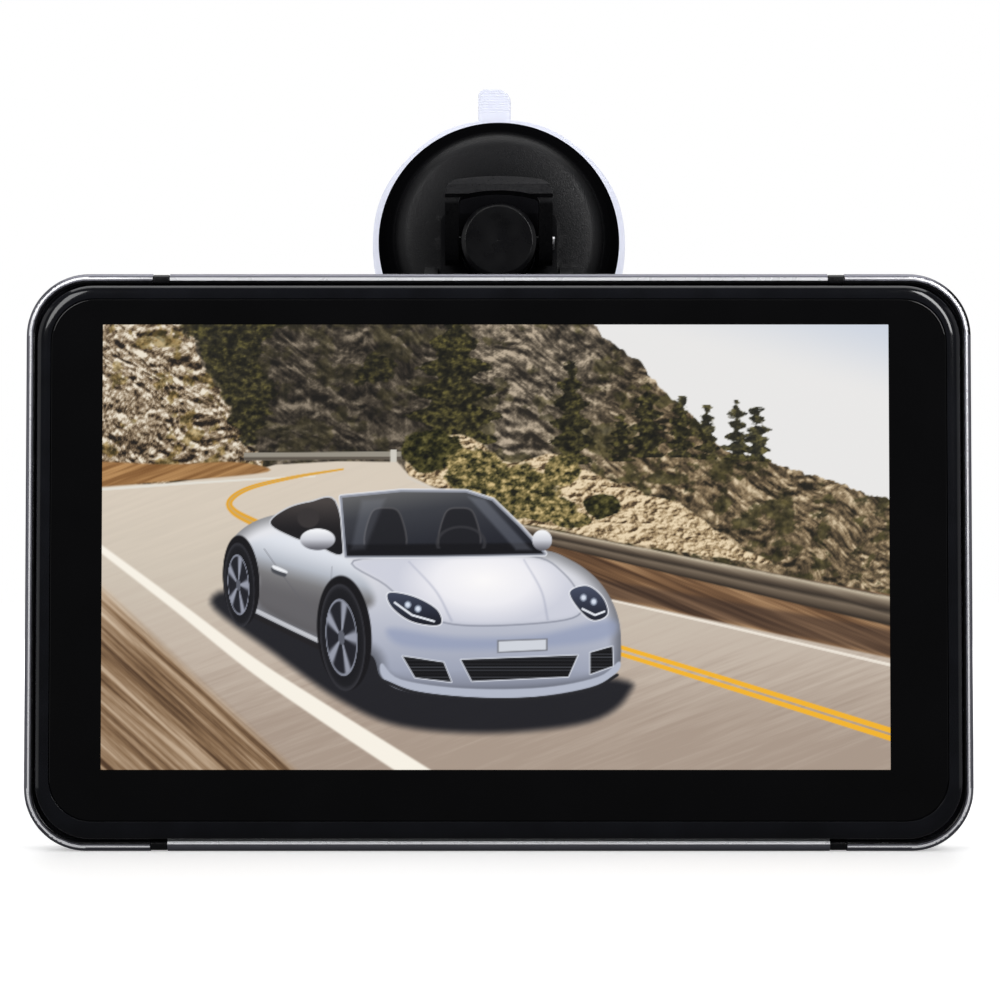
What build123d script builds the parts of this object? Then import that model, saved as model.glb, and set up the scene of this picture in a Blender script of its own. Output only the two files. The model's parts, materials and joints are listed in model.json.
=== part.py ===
"""Portable satellite navigator on its windscreen suction mount, in millimetres.

The origin is the centre of the suction cup's contact face. +Y points at the windscreen,
+Z is up and +X is to the driver's right, so the driver looks at the screen along +Y.
"""
from build123d import *
import os
from math import cos, pi, sin

# Navigator body
BODY_WIDTH = 186.2
BODY_HEIGHT = 113.4
BODY_CORNER = 12.3
BODY_Z = -73.0
SCREEN_FRONT = -79.0
BODY_BACK = -66.0

# Metal band round the body
BAND_WALL = 2.0
BAND_FRONT = -77.4
BAND_BACK = -68.0
BAND_FRONT_ROUND = 1.1
BAND_BACK_ROUND = 0.8
BAND_POLISH = 0.6
BREAK_X = 66.5
BREAK_WIDTH = 3.3
BREAK_RECESS = 0.15
SEAM = 0.05
SEAM_X = 84.2
SEAM_GROOVE = 0.15
WINDOW_X = 88.6
WINDOW_LOW = 44.6
WINDOW_HIGH = 54.0
WINDOW_DEPTH = 0.6
WINDOW_LIP = 0.6

# Front bezel and glass
BEZEL_WIDTH = 181.4
BEZEL_HEIGHT = 108.6
BEZEL_CORNER = 10.9
BEZEL_WALL = 1.4
BEZEL_SLOPE = 1.3
BEZEL_BACK = -73.6
GLASS_WIDTH = 175.8
GLASS_HEIGHT = 102.3
GLASS_CORNER = 8.5
GLASS_RISE = 0.4
GLASS_THICK = 1.1
GLASS_GAP = 0.1
LEDGE_WIDTH = 2.6
LEDGE_THICK = 1.0

# Display module, seven inches corner to corner
ACTIVE_WIDTH = 154.1
ACTIVE_HEIGHT = 87.1
ACTIVE_X = -0.6
ACTIVE_RISE = 2.9
MODULE_WIDTH = 164.9
MODULE_HEIGHT = 96.6
LCD_THICK = 1.2
BACKLIGHT_THICK = 2.0

# Inside the body
CHASSIS_FRONT = -73.4
CHASSIS_THICK = 0.8
BOARD_THICK = 1.2
BOSS_X = 84.0
BOSS_RISE = 50.0
BOSS_RADIUS = 2.4
SCREW_RADIUS = 0.9
SCREW_HEAD = 1.9

# Ports on the left edge, heights above the body's centre
PORT_Y = -71.0
JACK_RISE = -42.7
USB_RISE = -7.2
AV_RISE = 21.6
CARD_RISE = -25.0
JACK_BORE = 1.8
AV_BORE = 1.3
CARD_WIDTH = 11.0
CARD_THICK = 0.9
CARD_LENGTH = 15.0

# Power button on the top edge, vents on the right edge
BUTTON_X = -40.0
BUTTON_LENGTH = 9.0
BUTTON_DEPTH = 2.6
VENT_COUNT = 18
VENT_PITCH = 3.0
VENT_TOP = 21.6

# Suction cup and dome, turned about the Y axis
CUP_RADIUS = 29.5
CUP_LIP = 4.5
TAB_X = -1.0
TAB_WIDTH = 7.7
TAB_TOP = 35.9
DOME_RADIUS = 27.4
DOME_SHOULDER = 23.5
DOME_BASE = -2.6
DOME_FACE = -17.4
PEDESTAL_FACE = -19.0
PEDESTAL_WIDTH = 25.8
PEDESTAL_HEIGHT = 15.2

# Pull stud, pin and cam lever
STUD_Z = -3.0
STUD_RADIUS = 8.2
STUD_CHAMFER = 0.8
STUD_FLANGE = 12.0
STUD_PROUD = 5.2
STUD_BACK = -5.6
STUD_TRAVEL = 1.5
BORE_CLEARANCE = 0.3
CAM_CLOSED = 6.2
CAM_GAP = 0.25
PIN_Y = PEDESTAL_FACE - CAM_CLOSED - CAM_GAP
STUD_FRONT = PIN_Y - STUD_PROUD
PIN_RADIUS = 1.55
PIN_LEFT = -11.4
PIN_RIGHT = 12.2
RUNNING = 0.05
LEVER_HALF = 11.75
LEVER_INNER = 8.7
LEVER_TOP = 14.0
LEVER_BAR = 3.2
LEVER_CORNER = 3.4
LEVER_WINDOW_CORNER = 1.2
LEVER_ARCH = 1.2
LEVER_LEAN = 5.2

# Arm hinge between the dome's two cheeks
HINGE_Y = -29.0
HINGE_Z = -20.5
CHEEK_INNER = 13.6
CHEEK_OUTER = 16.5
CHEEK_RADIUS = 8.0
CHEEK_TOP = -5.0
KNUCKLE_RADIUS = 7.4
WASHER_THICK = 0.4
BOLT_RADIUS = 2.5

# Arm, ball and socket
BALL_Y = -50.5
BALL_Z = -60.0
BALL_RADIUS = 8.5
NECK_RADIUS = 4.2
ARM_WIDTH = 15.0
ARM_THICK = 8.0
LINER_WALL = 1.0
SOCKET_RADIUS = 12.0
SOCKET_LIP = 3.8
RING_RADIUS = 15.2
RING_FLUTES = 18

# Cradle plate behind the body
CRADLE_GAP = 0.2
CRADLE_THICK = 3.0
CRADLE_WIDTH = 58.0
CRADLE_HEIGHT = 46.0
HOOK_X = 18.0
HOOK_RISE = 13.0
HOOK_NECK = 3.0
HOOK_LIP = 6.4
HOOK_LIP_THICK = 1.0
RELEASE_TRAVEL = 8.0


def facing(y, x=0.0, z=0.0):
    """Plane at depth y that faces the driver, its own X to the right and its own Y up."""
    return Plane(origin=(x, y, z), x_dir=(1, 0, 0), z_dir=(0, -1, 0))


def slab(width, height, corner, back, front, x=0.0, z=BODY_Z):
    """Upright plate with rounded corners, from depth back to the nearer depth front."""
    return extrude(facing(back, x, z) * RectangleRounded(width, height, corner), back - front)


def disc(radius, back, front, x=0.0, z=0.0):
    """Round plate or rod along Y, from depth back to the nearer depth front."""
    return extrude(facing(back, x, z) * Circle(radius), back - front)


def block(low, high):
    """Box between two opposite corners."""
    size = [b - a for a, b in zip(low, high)]
    centre = [(a + b) / 2 for a, b in zip(low, high)]
    return Pos(*centre) * Box(*size)


def rod_x(radius, start, end, y, z):
    """Round rod along X from x = start to x = end."""
    plane = Plane(origin=(start, y, z), x_dir=(0, 1, 0), z_dir=(1, 0, 0))
    return extrude(plane * Circle(radius), end - start)


def turned(*edges):
    """Solid turned about the Y axis from a closed profile of radius against depth."""
    return revolve(make_face(edges), Axis.Y)


def side_profile(points, start, end):
    """Plate cut to an outline of (depth, height) points and spanning x = start to end."""
    plane = Plane(origin=(start, 0, 0), x_dir=(0, 1, 0), z_dir=(1, 0, 0))
    return extrude(plane * make_face(Polyline(*points, close=True)), end - start)


# ---------------------------------------------------------------- suction mount

def suction_cup():
    """Clear soft cup with a flat contact ring, a shallow hollow and a pull tab on top."""
    ring_inner = CUP_RADIUS - CUP_LIP
    hollow = ThreePointArc((0, -1.4), (ring_inner * 0.55, -1.0), (ring_inner, 0))
    outline = Polyline((ring_inner, 0), (CUP_RADIUS - 0.5, 0), (CUP_RADIUS, -0.5),
                       (CUP_RADIUS, -1.5), (CUP_RADIUS - 0.7, -2.2), (12, -3.2),
                       (0, -3.2), (0, -1.4))
    tab = slab(TAB_WIDTH, TAB_TOP - 20, 2.4, -0.3, -2.1, TAB_X, (TAB_TOP + 20) / 2)
    body = turned(hollow, outline)
    return body + (tab - disc(CUP_RADIUS - 1.5, 1, -6))


def dome_shell():
    """Hollow dome: a straight rim, a sloping skirt, a shoulder and a gently crowned face."""
    shoulder = ThreePointArc((DOME_SHOULDER, -13.0), (22.5, -14.7), (20.4, -15.9))
    crown = ThreePointArc((20.4, -15.9), (11.0, -17.1), (0, DOME_FACE))
    outside = Polyline((0, DOME_FACE), (0, DOME_BASE), (DOME_RADIUS, DOME_BASE),
                       (DOME_RADIUS, -5.6), (25.2, -12.4), (DOME_SHOULDER, -13.0))
    inside = Polyline((0, DOME_BASE), (25.4, DOME_BASE), (25.4, -5.4), (23.2, -11.2),
                      (20.0, -13.4), (0, -14.8), close=True)
    return turned(shoulder, crown, outside) - turned(inside)


def cheek(side):
    """One ear of the arm hinge: a web on the dome that ends in a round lug."""
    low, high = sorted((side * CHEEK_INNER, side * CHEEK_OUTER))
    web = side_profile([(-13.2, CHEEK_TOP), (-25.5, HINGE_Z + 7.2), (-25.5, HINGE_Z - 7.2),
                        (-13.2, -19.0)], low, high)
    return web + rod_x(CHEEK_RADIUS, low, high, HINGE_Y, HINGE_Z)


def mount_dome():
    """Dome with its cam pedestal and two hinge cheeks, bored for the stud and the bolt."""
    pedestal = slab(PEDESTAL_WIDTH, PEDESTAL_HEIGHT, 2.0, -14.6, PEDESTAL_FACE, z=STUD_Z)
    dome = dome_shell() + pedestal + cheek(1) + cheek(-1)
    dome -= disc(STUD_RADIUS + BORE_CLEARANCE, 0, -40, z=STUD_Z)
    return dome - rod_x(BOLT_RADIUS + RUNNING, -30, 30, HINGE_Y, HINGE_Z)


def pull_stud():
    """Round stud that draws the cup in, flanged at the back and chamfered in front."""
    stud = disc(STUD_RADIUS, STUD_BACK, STUD_FRONT, z=STUD_Z)
    front_rim = stud.faces().sort_by(Axis.Y)[0].edges()
    stud = chamfer(front_rim, STUD_CHAMFER)
    stud += disc(STUD_FLANGE, STUD_BACK, STUD_BACK - 1.6, z=STUD_Z)
    return stud - rod_x(PIN_RADIUS, -20, 20, PIN_Y, STUD_Z)


def lever_pin():
    """Steel pin through the stud that carries the lever."""
    return rod_x(PIN_RADIUS, PIN_LEFT, PIN_RIGHT, PIN_Y, STUD_Z)


def cam_outline():
    """Spiral from the closed radius at the dome side to the open radius underneath."""
    steps = 8
    for step in range(steps + 1):
        turn = step / steps
        radius = CAM_CLOSED - STUD_TRAVEL * turn
        angle = turn * pi / 2
        yield (PIN_Y + radius * cos(angle), STUD_Z - radius * sin(angle))


def arched(half, rise, corner):
    """Upright block with a gently arched top and rounded upper corners."""
    top = STUD_Z + rise
    shoulder = top - LEVER_ARCH
    arc = ThreePointArc((-half, shoulder), (0, top), (half, shoulder))
    sides = Polyline((half, shoulder), (half, -20), (-half, -20), (-half, shoulder))
    outline = extrude(facing(0) * make_face([arc, sides]), 60)
    upper = outline.edges().filter_by(Axis.Y).group_by(Axis.Z)[-1]
    return fillet(upper, corner)


def cam_lever():
    """Bail lever: two cam arms either side of the stud, joined by a thumb bar on top."""
    bar_foot = LEVER_TOP - LEVER_BAR - LEVER_ARCH
    rest = [(-2.4, -4.0), (-3.2, -2.4), (-3.2, bar_foot), (-LEVER_LEAN, bar_foot + 0.5),
            (-LEVER_LEAN, LEVER_TOP - 1.8), (-LEVER_LEAN + 0.5, LEVER_TOP), (-2.2, LEVER_TOP),
            (0.4, LEVER_TOP - 2.0), (1.6, 8.0), (5.2, 3.0)]
    outline = list(cam_outline()) + [(PIN_Y + y, STUD_Z + z) for y, z in rest]
    lever = side_profile(outline, -LEVER_HALF, LEVER_HALF)
    frame = arched(LEVER_HALF, LEVER_TOP, LEVER_CORNER)
    window = arched(LEVER_INNER, LEVER_TOP - LEVER_BAR, LEVER_WINDOW_CORNER)
    lever = (lever & frame) - window
    return lever - rod_x(PIN_RADIUS + RUNNING, -20, 20, PIN_Y, STUD_Z)


def hinge_bolt():
    """Round-headed bolt through both cheeks and the arm's knuckle."""
    shank = rod_x(BOLT_RADIUS, -CHEEK_OUTER - 3.4, CHEEK_OUTER + 0.2, HINGE_Y, HINGE_Z)
    head = rod_x(4.6, CHEEK_OUTER + 0.1, CHEEK_OUTER + 3.1, HINGE_Y, HINGE_Z)
    head = fillet(head.faces().sort_by(Axis.X)[-1].edges(), 1.0)
    return shank + head


def hinge_nut():
    """Hexagon nut on the bolt's free end."""
    plane = Plane(origin=(-CHEEK_OUTER - 3.1, HINGE_Y, HINGE_Z), x_dir=(0, 1, 0), z_dir=(1, 0, 0))
    nut = extrude(plane * RegularPolygon(4.0, 6, major_radius=False), 3.0)
    return nut - rod_x(BOLT_RADIUS, -30, 0, HINGE_Y, HINGE_Z)


def hinge_washers():
    """Two thin friction washers between the knuckle and the cheeks."""
    washers = []
    for side in (-1, 1):
        low, high = sorted((side * (CHEEK_INNER - 0.05), side * (CHEEK_INNER - 0.05 - WASHER_THICK)))
        ring = rod_x(6.6, low, high, HINGE_Y, HINGE_Z)
        washers.append(ring - rod_x(BOLT_RADIUS + 0.1, low - 1, high + 1, HINGE_Y, HINGE_Z))
    return Compound(children=washers)


def arm():
    """Arm: hinge knuckle at the top, a ribbed upright, and an elbow that ends in a ball."""
    half = CHEEK_INNER - WASHER_THICK - 0.15
    knuckle = rod_x(KNUCKLE_RADIUS, -half, half, HINGE_Y, HINGE_Z)
    back = HINGE_Y + ARM_THICK / 2
    front = HINGE_Y - ARM_THICK / 2
    upright = slab(ARM_WIDTH, HINGE_Z - BALL_Z + 7, 5.0, back, front, z=(HINGE_Z + BALL_Z - 7) / 2)
    groove = slab(ARM_WIDTH - 5, 24, 2.4, back + 1, back - 2, z=-41.0)
    neck = disc(NECK_RADIUS, HINGE_Y, BALL_Y, z=BALL_Z)
    collar = disc(6.2, HINGE_Y, -33.4, z=BALL_Z)
    ball = Pos(0, BALL_Y, BALL_Z) * Sphere(BALL_RADIUS)
    body = knuckle + (upright - groove) + neck + collar + ball
    return body - rod_x(BOLT_RADIUS + RUNNING, -30, 30, HINGE_Y, HINGE_Z)


def ball_liner():
    """Thin plastic cup between the ball and its socket."""
    ball_centre = Pos(0, BALL_Y, BALL_Z)
    shell = Sphere(BALL_RADIUS + RUNNING + LINER_WALL) - Sphere(BALL_RADIUS + RUNNING)
    keep = block((-20, -20, -20), (20, SOCKET_LIP - 0.8, 20)) - block((-20, -20, -20), (20, -7.6, 20))
    return ball_centre * (shell & keep)


def ball_socket():
    """Split socket that grips the liner, with a foot that screws to the cradle plate."""
    foot_back = cradle_back()
    barrel = disc(SOCKET_RADIUS, BALL_Y + SOCKET_LIP, foot_back, z=BALL_Z)
    foot = slab(34.0, 26.0, 5.0, foot_back + 2.4, foot_back, z=BALL_Z)
    cavity = Pos(0, BALL_Y, BALL_Z) * Sphere(BALL_RADIUS + LINER_WALL + 2 * RUNNING)
    socket = barrel + foot - cavity
    for angle in (0, 45, 90, 135):
        slit = Pos(0, BALL_Y + 2.6, BALL_Z) * Rot(0, angle, 0) * Box(1.2, 6.0, 40)
        socket -= slit & disc(SOCKET_RADIUS + 1, BALL_Y + SOCKET_LIP + 1, BALL_Y, z=BALL_Z)
    for side in (-1, 1):
        socket -= disc(1.3, foot_back + 4, foot_back - 1, x=side * 14.2, z=BALL_Z)
    return socket


def lock_ring():
    """Fluted ring nut that closes the socket's fingers on the ball."""
    back = BALL_Y + SOCKET_LIP + 1.5
    front = BALL_Y - 6.8
    ring = disc(RING_RADIUS, back, front, z=BALL_Z)
    ring = chamfer(ring.edges().filter_by(GeomType.CIRCLE), 0.9)
    ring -= disc(SOCKET_RADIUS + 0.08, BALL_Y + SOCKET_LIP + 0.1, front - 1, z=BALL_Z)
    ring -= disc(10.4, back + 1, front - 1, z=BALL_Z)
    for index in range(RING_FLUTES):
        angle = 2 * pi * index / RING_FLUTES
        reach = RING_RADIUS + 0.9
        ring -= disc(1.5, back + 1, front - 1, x=reach * cos(angle), z=BALL_Z + reach * sin(angle))
    return ring


def cradle_back():
    """Depth of the cradle plate's windscreen side."""
    return BODY_BACK + CRADLE_GAP + CRADLE_THICK


def cradle():
    """Plate behind the navigator with four hooks and a sprung release tongue on top."""
    face = BODY_BACK + CRADLE_GAP
    plate = slab(CRADLE_WIDTH, CRADLE_HEIGHT, 7.0, cradle_back(), face, z=BALL_Z)
    tongue_z = BALL_Z + CRADLE_HEIGHT / 2 + 3.0
    plate += slab(16.0, 10.0, 3.0, cradle_back(), cradle_back() - 2.2, z=tongue_z)
    for side in (-1, 1):
        slit = slab(1.2, 14.0, 0.5, cradle_back() + 1, face - 1, side * 9.0, tongue_z - 8.0)
        plate -= slit
        for rise in (-HOOK_RISE, HOOK_RISE):
            plate += hook(side * HOOK_X, BALL_Z + rise)
        plate -= disc(1.1, cradle_back() + 1, face - 1, x=side * 14.2, z=BALL_Z)
    return plate


def hook(x, z):
    """T-shaped hook that reaches through the rear cover and spreads behind it."""
    face = BODY_BACK + CRADLE_GAP
    lip_back = BAND_BACK - 0.2
    neck = slab(HOOK_NECK, HOOK_NECK, 0.4, face + 0.5, lip_back - HOOK_LIP_THICK, x, z)
    lip = slab(HOOK_LIP, HOOK_NECK, 0.4, lip_back, lip_back - HOOK_LIP_THICK, x, z)
    return neck + lip


def cradle_screws():
    """Two pan-head screws that hold the socket's foot on the cradle plate."""
    screws = []
    for side in (-1, 1):
        x = side * 14.2
        head_back = cradle_back() + 2.4
        head = disc(2.2, head_back + 1.5, head_back + 0.02, x, BALL_Z)
        shank = disc(1.05, head_back + 0.5, head_back - 4.6, x, BALL_Z)
        screws.append(head + shank)
    return Compound(children=screws)


# ---------------------------------------------------------------- navigator body

def band_ring(inset=0.0):
    """Full band, rounded outside and with a smaller polished round on its inner front edge."""
    outer = slab(BODY_WIDTH - 2 * inset, BODY_HEIGHT - 2 * inset, BODY_CORNER - inset,
                 BAND_BACK, BAND_FRONT)
    outer = fillet(outer.faces().sort_by(Axis.Y)[0].edges(), BAND_FRONT_ROUND)
    outer = fillet(outer.faces().sort_by(Axis.Y)[-1].edges(), BAND_BACK_ROUND)
    inner = slab(BODY_WIDTH - 2 * BAND_WALL, BODY_HEIGHT - 2 * BAND_WALL,
                 BODY_CORNER - BAND_WALL, BAND_BACK + 1, BAND_FRONT - 1)
    ring = outer - inner
    front_edge = ring.faces().sort_by(Axis.Y)[0].inner_wires()[0].edges()
    return fillet(front_edge, BAND_POLISH)


def band_zone(left, right, low, high):
    """Block that picks a stretch of the band, heights measured from the body's centre."""
    return block((left, -90, BODY_Z + low), (right, -55, BODY_Z + high))


def window_skin(inset, gap):
    """Outer skin of the band at the top right corner, down to the depth inset."""
    core = slab(BODY_WIDTH - 2 * inset, BODY_HEIGHT - 2 * inset, BODY_CORNER - inset,
                BAND_BACK + 1, BAND_FRONT - 1)
    zone = band_zone(WINDOW_X + gap, 100, WINDOW_LOW + gap, WINDOW_HIGH - gap)
    return (band_ring() & zone) - core


def band_top():
    """Top metal strip, with the power button's slot."""
    reach = BREAK_X - BREAK_WIDTH / 2 - SEAM
    strip = band_ring() & band_zone(-reach, reach, 40, 70)
    return strip - button_shape(0.15, 6)


def band_bottom():
    """Bottom metal strip."""
    reach = BREAK_X - BREAK_WIDTH / 2 - SEAM
    return band_ring() & band_zone(-reach, reach, -70, -40)


def band_left():
    """Left metal strip with its port openings."""
    edge = BREAK_X + BREAK_WIDTH / 2 + SEAM
    strip = band_ring() & band_zone(-100, -edge, -70, 70)
    for rise, radius in ((JACK_RISE, 2.9), (AV_RISE, 2.5)):
        strip -= rod_x(radius, -100, -80, PORT_Y, BODY_Z + rise)
    strip -= block((-100, PORT_Y - 2.2, BODY_Z + USB_RISE - 4.2),
                   (-80, PORT_Y + 2.2, BODY_Z + USB_RISE + 4.2))
    return strip - block((-100, PORT_Y - 0.8, BODY_Z + CARD_RISE - 6.0),
                         (-80, PORT_Y + 0.8, BODY_Z + CARD_RISE + 6.0))


def band_right():
    """Right metal strip with its vent slots and the corner cut for the aerial window."""
    edge = BREAK_X + BREAK_WIDTH / 2 + SEAM
    strip = band_ring() & band_zone(edge, 100, -70, 70)
    strip -= window_skin(WINDOW_DEPTH, 0)
    top = BODY_Z + BODY_HEIGHT / 2
    strip -= block((SEAM_X, -90, top - 1.2), (SEAM_X + SEAM_GROOVE, -60, top + 1))
    for index in range(VENT_COUNT):
        z = BODY_Z + VENT_TOP - index * VENT_PITCH
        strip -= block((80, BAND_FRONT + 2.2, z - 0.5), (100, BAND_BACK - 2.2, z + 0.5))
    return strip


def aerial_window():
    """Black plastic inlay on the corner's outer skin, behind the metal's front lip."""
    skin = window_skin(WINDOW_DEPTH - 0.02, SEAM)
    return skin & block((0, BAND_FRONT + WINDOW_LIP, -90), (100, BAND_BACK, 0))


def band_break(x, side):
    """Black insert that parts two metal strips, a little below their surface."""
    low, high = sorted((side * 40, side * 70))
    half = BREAK_WIDTH / 2
    return band_ring(BREAK_RECESS) & band_zone(x - half, x + half, low, high)


def bezel():
    """Black front frame: sloped rim, recess for the glass and a skirt inside the band."""
    skirt = slab(BEZEL_WIDTH, BEZEL_HEIGHT, BEZEL_CORNER, BEZEL_BACK, SCREEN_FRONT + BEZEL_SLOPE)
    rim = slab(BEZEL_WIDTH, BEZEL_HEIGHT, BEZEL_CORNER, SCREEN_FRONT + BEZEL_SLOPE, SCREEN_FRONT)
    rim = chamfer(rim.faces().sort_by(Axis.Y)[0].edges(), 1.2)
    frame = skirt + rim
    glass_z = BODY_Z + GLASS_RISE
    ledge_front = SCREEN_FRONT + GLASS_THICK
    ledge_back = ledge_front + LEDGE_THICK
    frame -= slab(GLASS_WIDTH, GLASS_HEIGHT, GLASS_CORNER, ledge_front, SCREEN_FRONT - 2, z=glass_z)
    frame -= slab(GLASS_WIDTH - 2 * LEDGE_WIDTH, GLASS_HEIGHT - 2 * LEDGE_WIDTH,
                  GLASS_CORNER - LEDGE_WIDTH, BEZEL_BACK + 1, SCREEN_FRONT - 2, z=glass_z)
    return frame - slab(BEZEL_WIDTH - 2 * BEZEL_WALL, BEZEL_HEIGHT - 2 * BEZEL_WALL,
                        BEZEL_CORNER - BEZEL_WALL, BEZEL_BACK + 1, ledge_back)


def touch_glass():
    """Cover glass with the touch layer."""
    return slab(GLASS_WIDTH - 2 * GLASS_GAP, GLASS_HEIGHT - 2 * GLASS_GAP, GLASS_CORNER - GLASS_GAP,
                SCREEN_FRONT + GLASS_THICK, SCREEN_FRONT, z=BODY_Z + GLASS_RISE)


def display_plate(width, height, back, front):
    """Rectangular plate centred on the display's active area."""
    x = ACTIVE_X
    z = BODY_Z + ACTIVE_RISE
    return block((x - width / 2, front, z - height / 2), (x + width / 2, back, z + height / 2))


def display_gasket():
    """Foam frame between the cover glass and the display."""
    front = SCREEN_FRONT + GLASS_THICK
    outer = display_plate(ACTIVE_WIDTH + 6, ACTIVE_HEIGHT + 4, front + 1.0, front)
    return outer - display_plate(ACTIVE_WIDTH + 2, ACTIVE_HEIGHT + 2, front + 2, front - 1)


def lcd_panel():
    """Liquid-crystal glass of the display."""
    front = SCREEN_FRONT + GLASS_THICK + LEDGE_THICK + 0.05
    return display_plate(MODULE_WIDTH, MODULE_HEIGHT, front + LCD_THICK, front)


def backlight():
    """Edge-lit light guide in its sheet-metal tray."""
    front = SCREEN_FRONT + GLASS_THICK + LEDGE_THICK + LCD_THICK + 0.1
    return display_plate(MODULE_WIDTH, MODULE_HEIGHT, front + BACKLIGHT_THICK, front)


def boss_places():
    """Centres of the four cover screws."""
    return [(x, BODY_Z + rise) for x in (-BOSS_X, BOSS_X) for rise in (-BOSS_RISE, BOSS_RISE)]


def port_room(rise, half_height, depth):
    """Space that a port needs behind the left edge."""
    z = BODY_Z + rise
    return block((-100, PORT_Y - 2.6, z - half_height), (-91.0 + depth, PORT_Y + 2.6, z + half_height))


def chassis():
    """Metal plate behind the display, with four bosses for the cover screws."""
    back = CHASSIS_FRONT + CHASSIS_THICK
    plate = slab(BEZEL_WIDTH - 0.6, BEZEL_HEIGHT - 0.6, BEZEL_CORNER - 0.3, back, CHASSIS_FRONT)
    for x, z in boss_places():
        plate += disc(BOSS_RADIUS, BAND_BACK - 0.1, back - 0.2, x, z)
        plate -= disc(SCREW_RADIUS + 0.02, BAND_BACK + 1, back - 0.1, x, z)
    plate -= port_room(JACK_RISE, 3.8, 14.6)
    plate -= port_room(AV_RISE, 3.4, 11.6)
    return plate - port_room(USB_RISE, 4.6, 9.6)


def main_board():
    """Circuit board with its processor, memory and shield can."""
    front = CHASSIS_FRONT + CHASSIS_THICK + 0.15
    back = front + BOARD_THICK
    z = BODY_Z
    board = block((-75, front, z - 8), (60, back, z + 46))
    board += block((-75, front, z - 46), (-46, back, z - 8))
    chips = [(-20, 22, 15, 1.2), (6, 24, 12, 1.0), (6, 8, 12, 1.0), (34, 24, 22, 1.6)]
    for x, rise, size, height in chips:
        board += block((x - size / 2, back - 0.05, z + rise - size / 2),
                       (x + size / 2, back + height, z + rise + size / 2))
    return board


def battery():
    """Flat lithium pouch cell."""
    front = CHASSIS_FRONT + CHASSIS_THICK + 0.2
    cell = block((-34, front, BODY_Z - 48), (36, front + 3.0, BODY_Z - 12))
    return fillet(cell.edges().filter_by(Axis.Z), 1.2)


def speaker():
    """Round loudspeaker behind the grille."""
    front = CHASSIS_FRONT + CHASSIS_THICK + 0.2
    z = BODY_Z - 30
    return disc(11.0, front + 3.2, front, 62, z) + disc(6.5, front + 4.0, front + 3.1, 62, z)


def satellite_aerial():
    """Ceramic patch aerial in the top right corner."""
    front = CHASSIS_FRONT + CHASSIS_THICK + 0.2
    patch = block((65, front, BODY_Z + 25), (83, front + 4.0, BODY_Z + 43))
    return patch + block((68, front + 3.9, BODY_Z + 28), (80, front + 4.2, BODY_Z + 40))


def round_jack(rise, half_height, depth, bore, collar):
    """Jack socket: a body behind the band with a bored metal collar that points left."""
    z = BODY_Z + rise
    body = block((-90.6, PORT_Y - 2.3, z - half_height), (-90.6 + depth, PORT_Y + 2.3, z + half_height))
    jack = body + rod_x(collar, -92.3, -90.5, PORT_Y, z)
    return jack - rod_x(bore, -100, -92.3 + depth, PORT_Y, z)


def headphone_jack():
    """Socket for a 3.5 mm headphone plug."""
    return round_jack(JACK_RISE, 3.4, 14.0, JACK_BORE, 2.5)


def av_jack():
    """Socket for a 2.5 mm video plug."""
    return round_jack(AV_RISE, 3.0, 11.0, AV_BORE, 2.3)


def usb_port():
    """Mini USB socket: a folded metal shell round a plastic tongue."""
    z = BODY_Z + USB_RISE
    shell = block((-92.0, PORT_Y - 2.0, z - 3.9), (-83.0, PORT_Y + 2.0, z + 3.9))
    shell -= block((-95.0, PORT_Y - 1.6, z - 3.5), (-84.0, PORT_Y + 1.6, z + 3.5))
    return shell + block((-90.5, PORT_Y - 0.4, z - 2.4), (-83.9, PORT_Y + 0.4, z + 2.4))


def card_slot():
    """Reader for the memory card, a thin sheet-metal case."""
    z = BODY_Z + CARD_RISE
    half = CARD_WIDTH / 2 + 0.6
    case = block((-90.8, PORT_Y - 0.9, z - half), (-75.5, PORT_Y + 0.9, z + half))
    room = CARD_WIDTH / 2 + 0.2
    return case - block((-92.0, PORT_Y - 0.6, z - room), (-76.2, PORT_Y + 0.6, z + room))


def memory_card():
    """Map card, pushed home in its reader."""
    z = BODY_Z + CARD_RISE
    half = CARD_WIDTH / 2
    left = -92.4
    card = block((left, PORT_Y - CARD_THICK / 2, z - half),
                 (left + CARD_LENGTH, PORT_Y + CARD_THICK / 2, z + half))
    return card - block((left + CARD_LENGTH - 7, PORT_Y - 2, z + half - 1.2),
                        (left + CARD_LENGTH + 1, PORT_Y + 2, z + half + 1))


def button_shape(grow, depth):
    """Power button's outline, run down from the top edge."""
    top = BODY_Z + BODY_HEIGHT / 2
    y = (BAND_FRONT + BAND_BACK) / 2
    half_x = BUTTON_LENGTH / 2 + grow
    half_y = BUTTON_DEPTH / 2 + grow
    key = block((BUTTON_X - half_x, y - half_y, top - depth), (BUTTON_X + half_x, y + half_y, top + 0.02))
    return fillet(key.edges().filter_by(Axis.Z), half_y * 0.9)


def power_button():
    """Power key in the top edge, with a plunger that ends just above the bezel's skirt."""
    return button_shape(0.0, 1.5)


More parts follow.
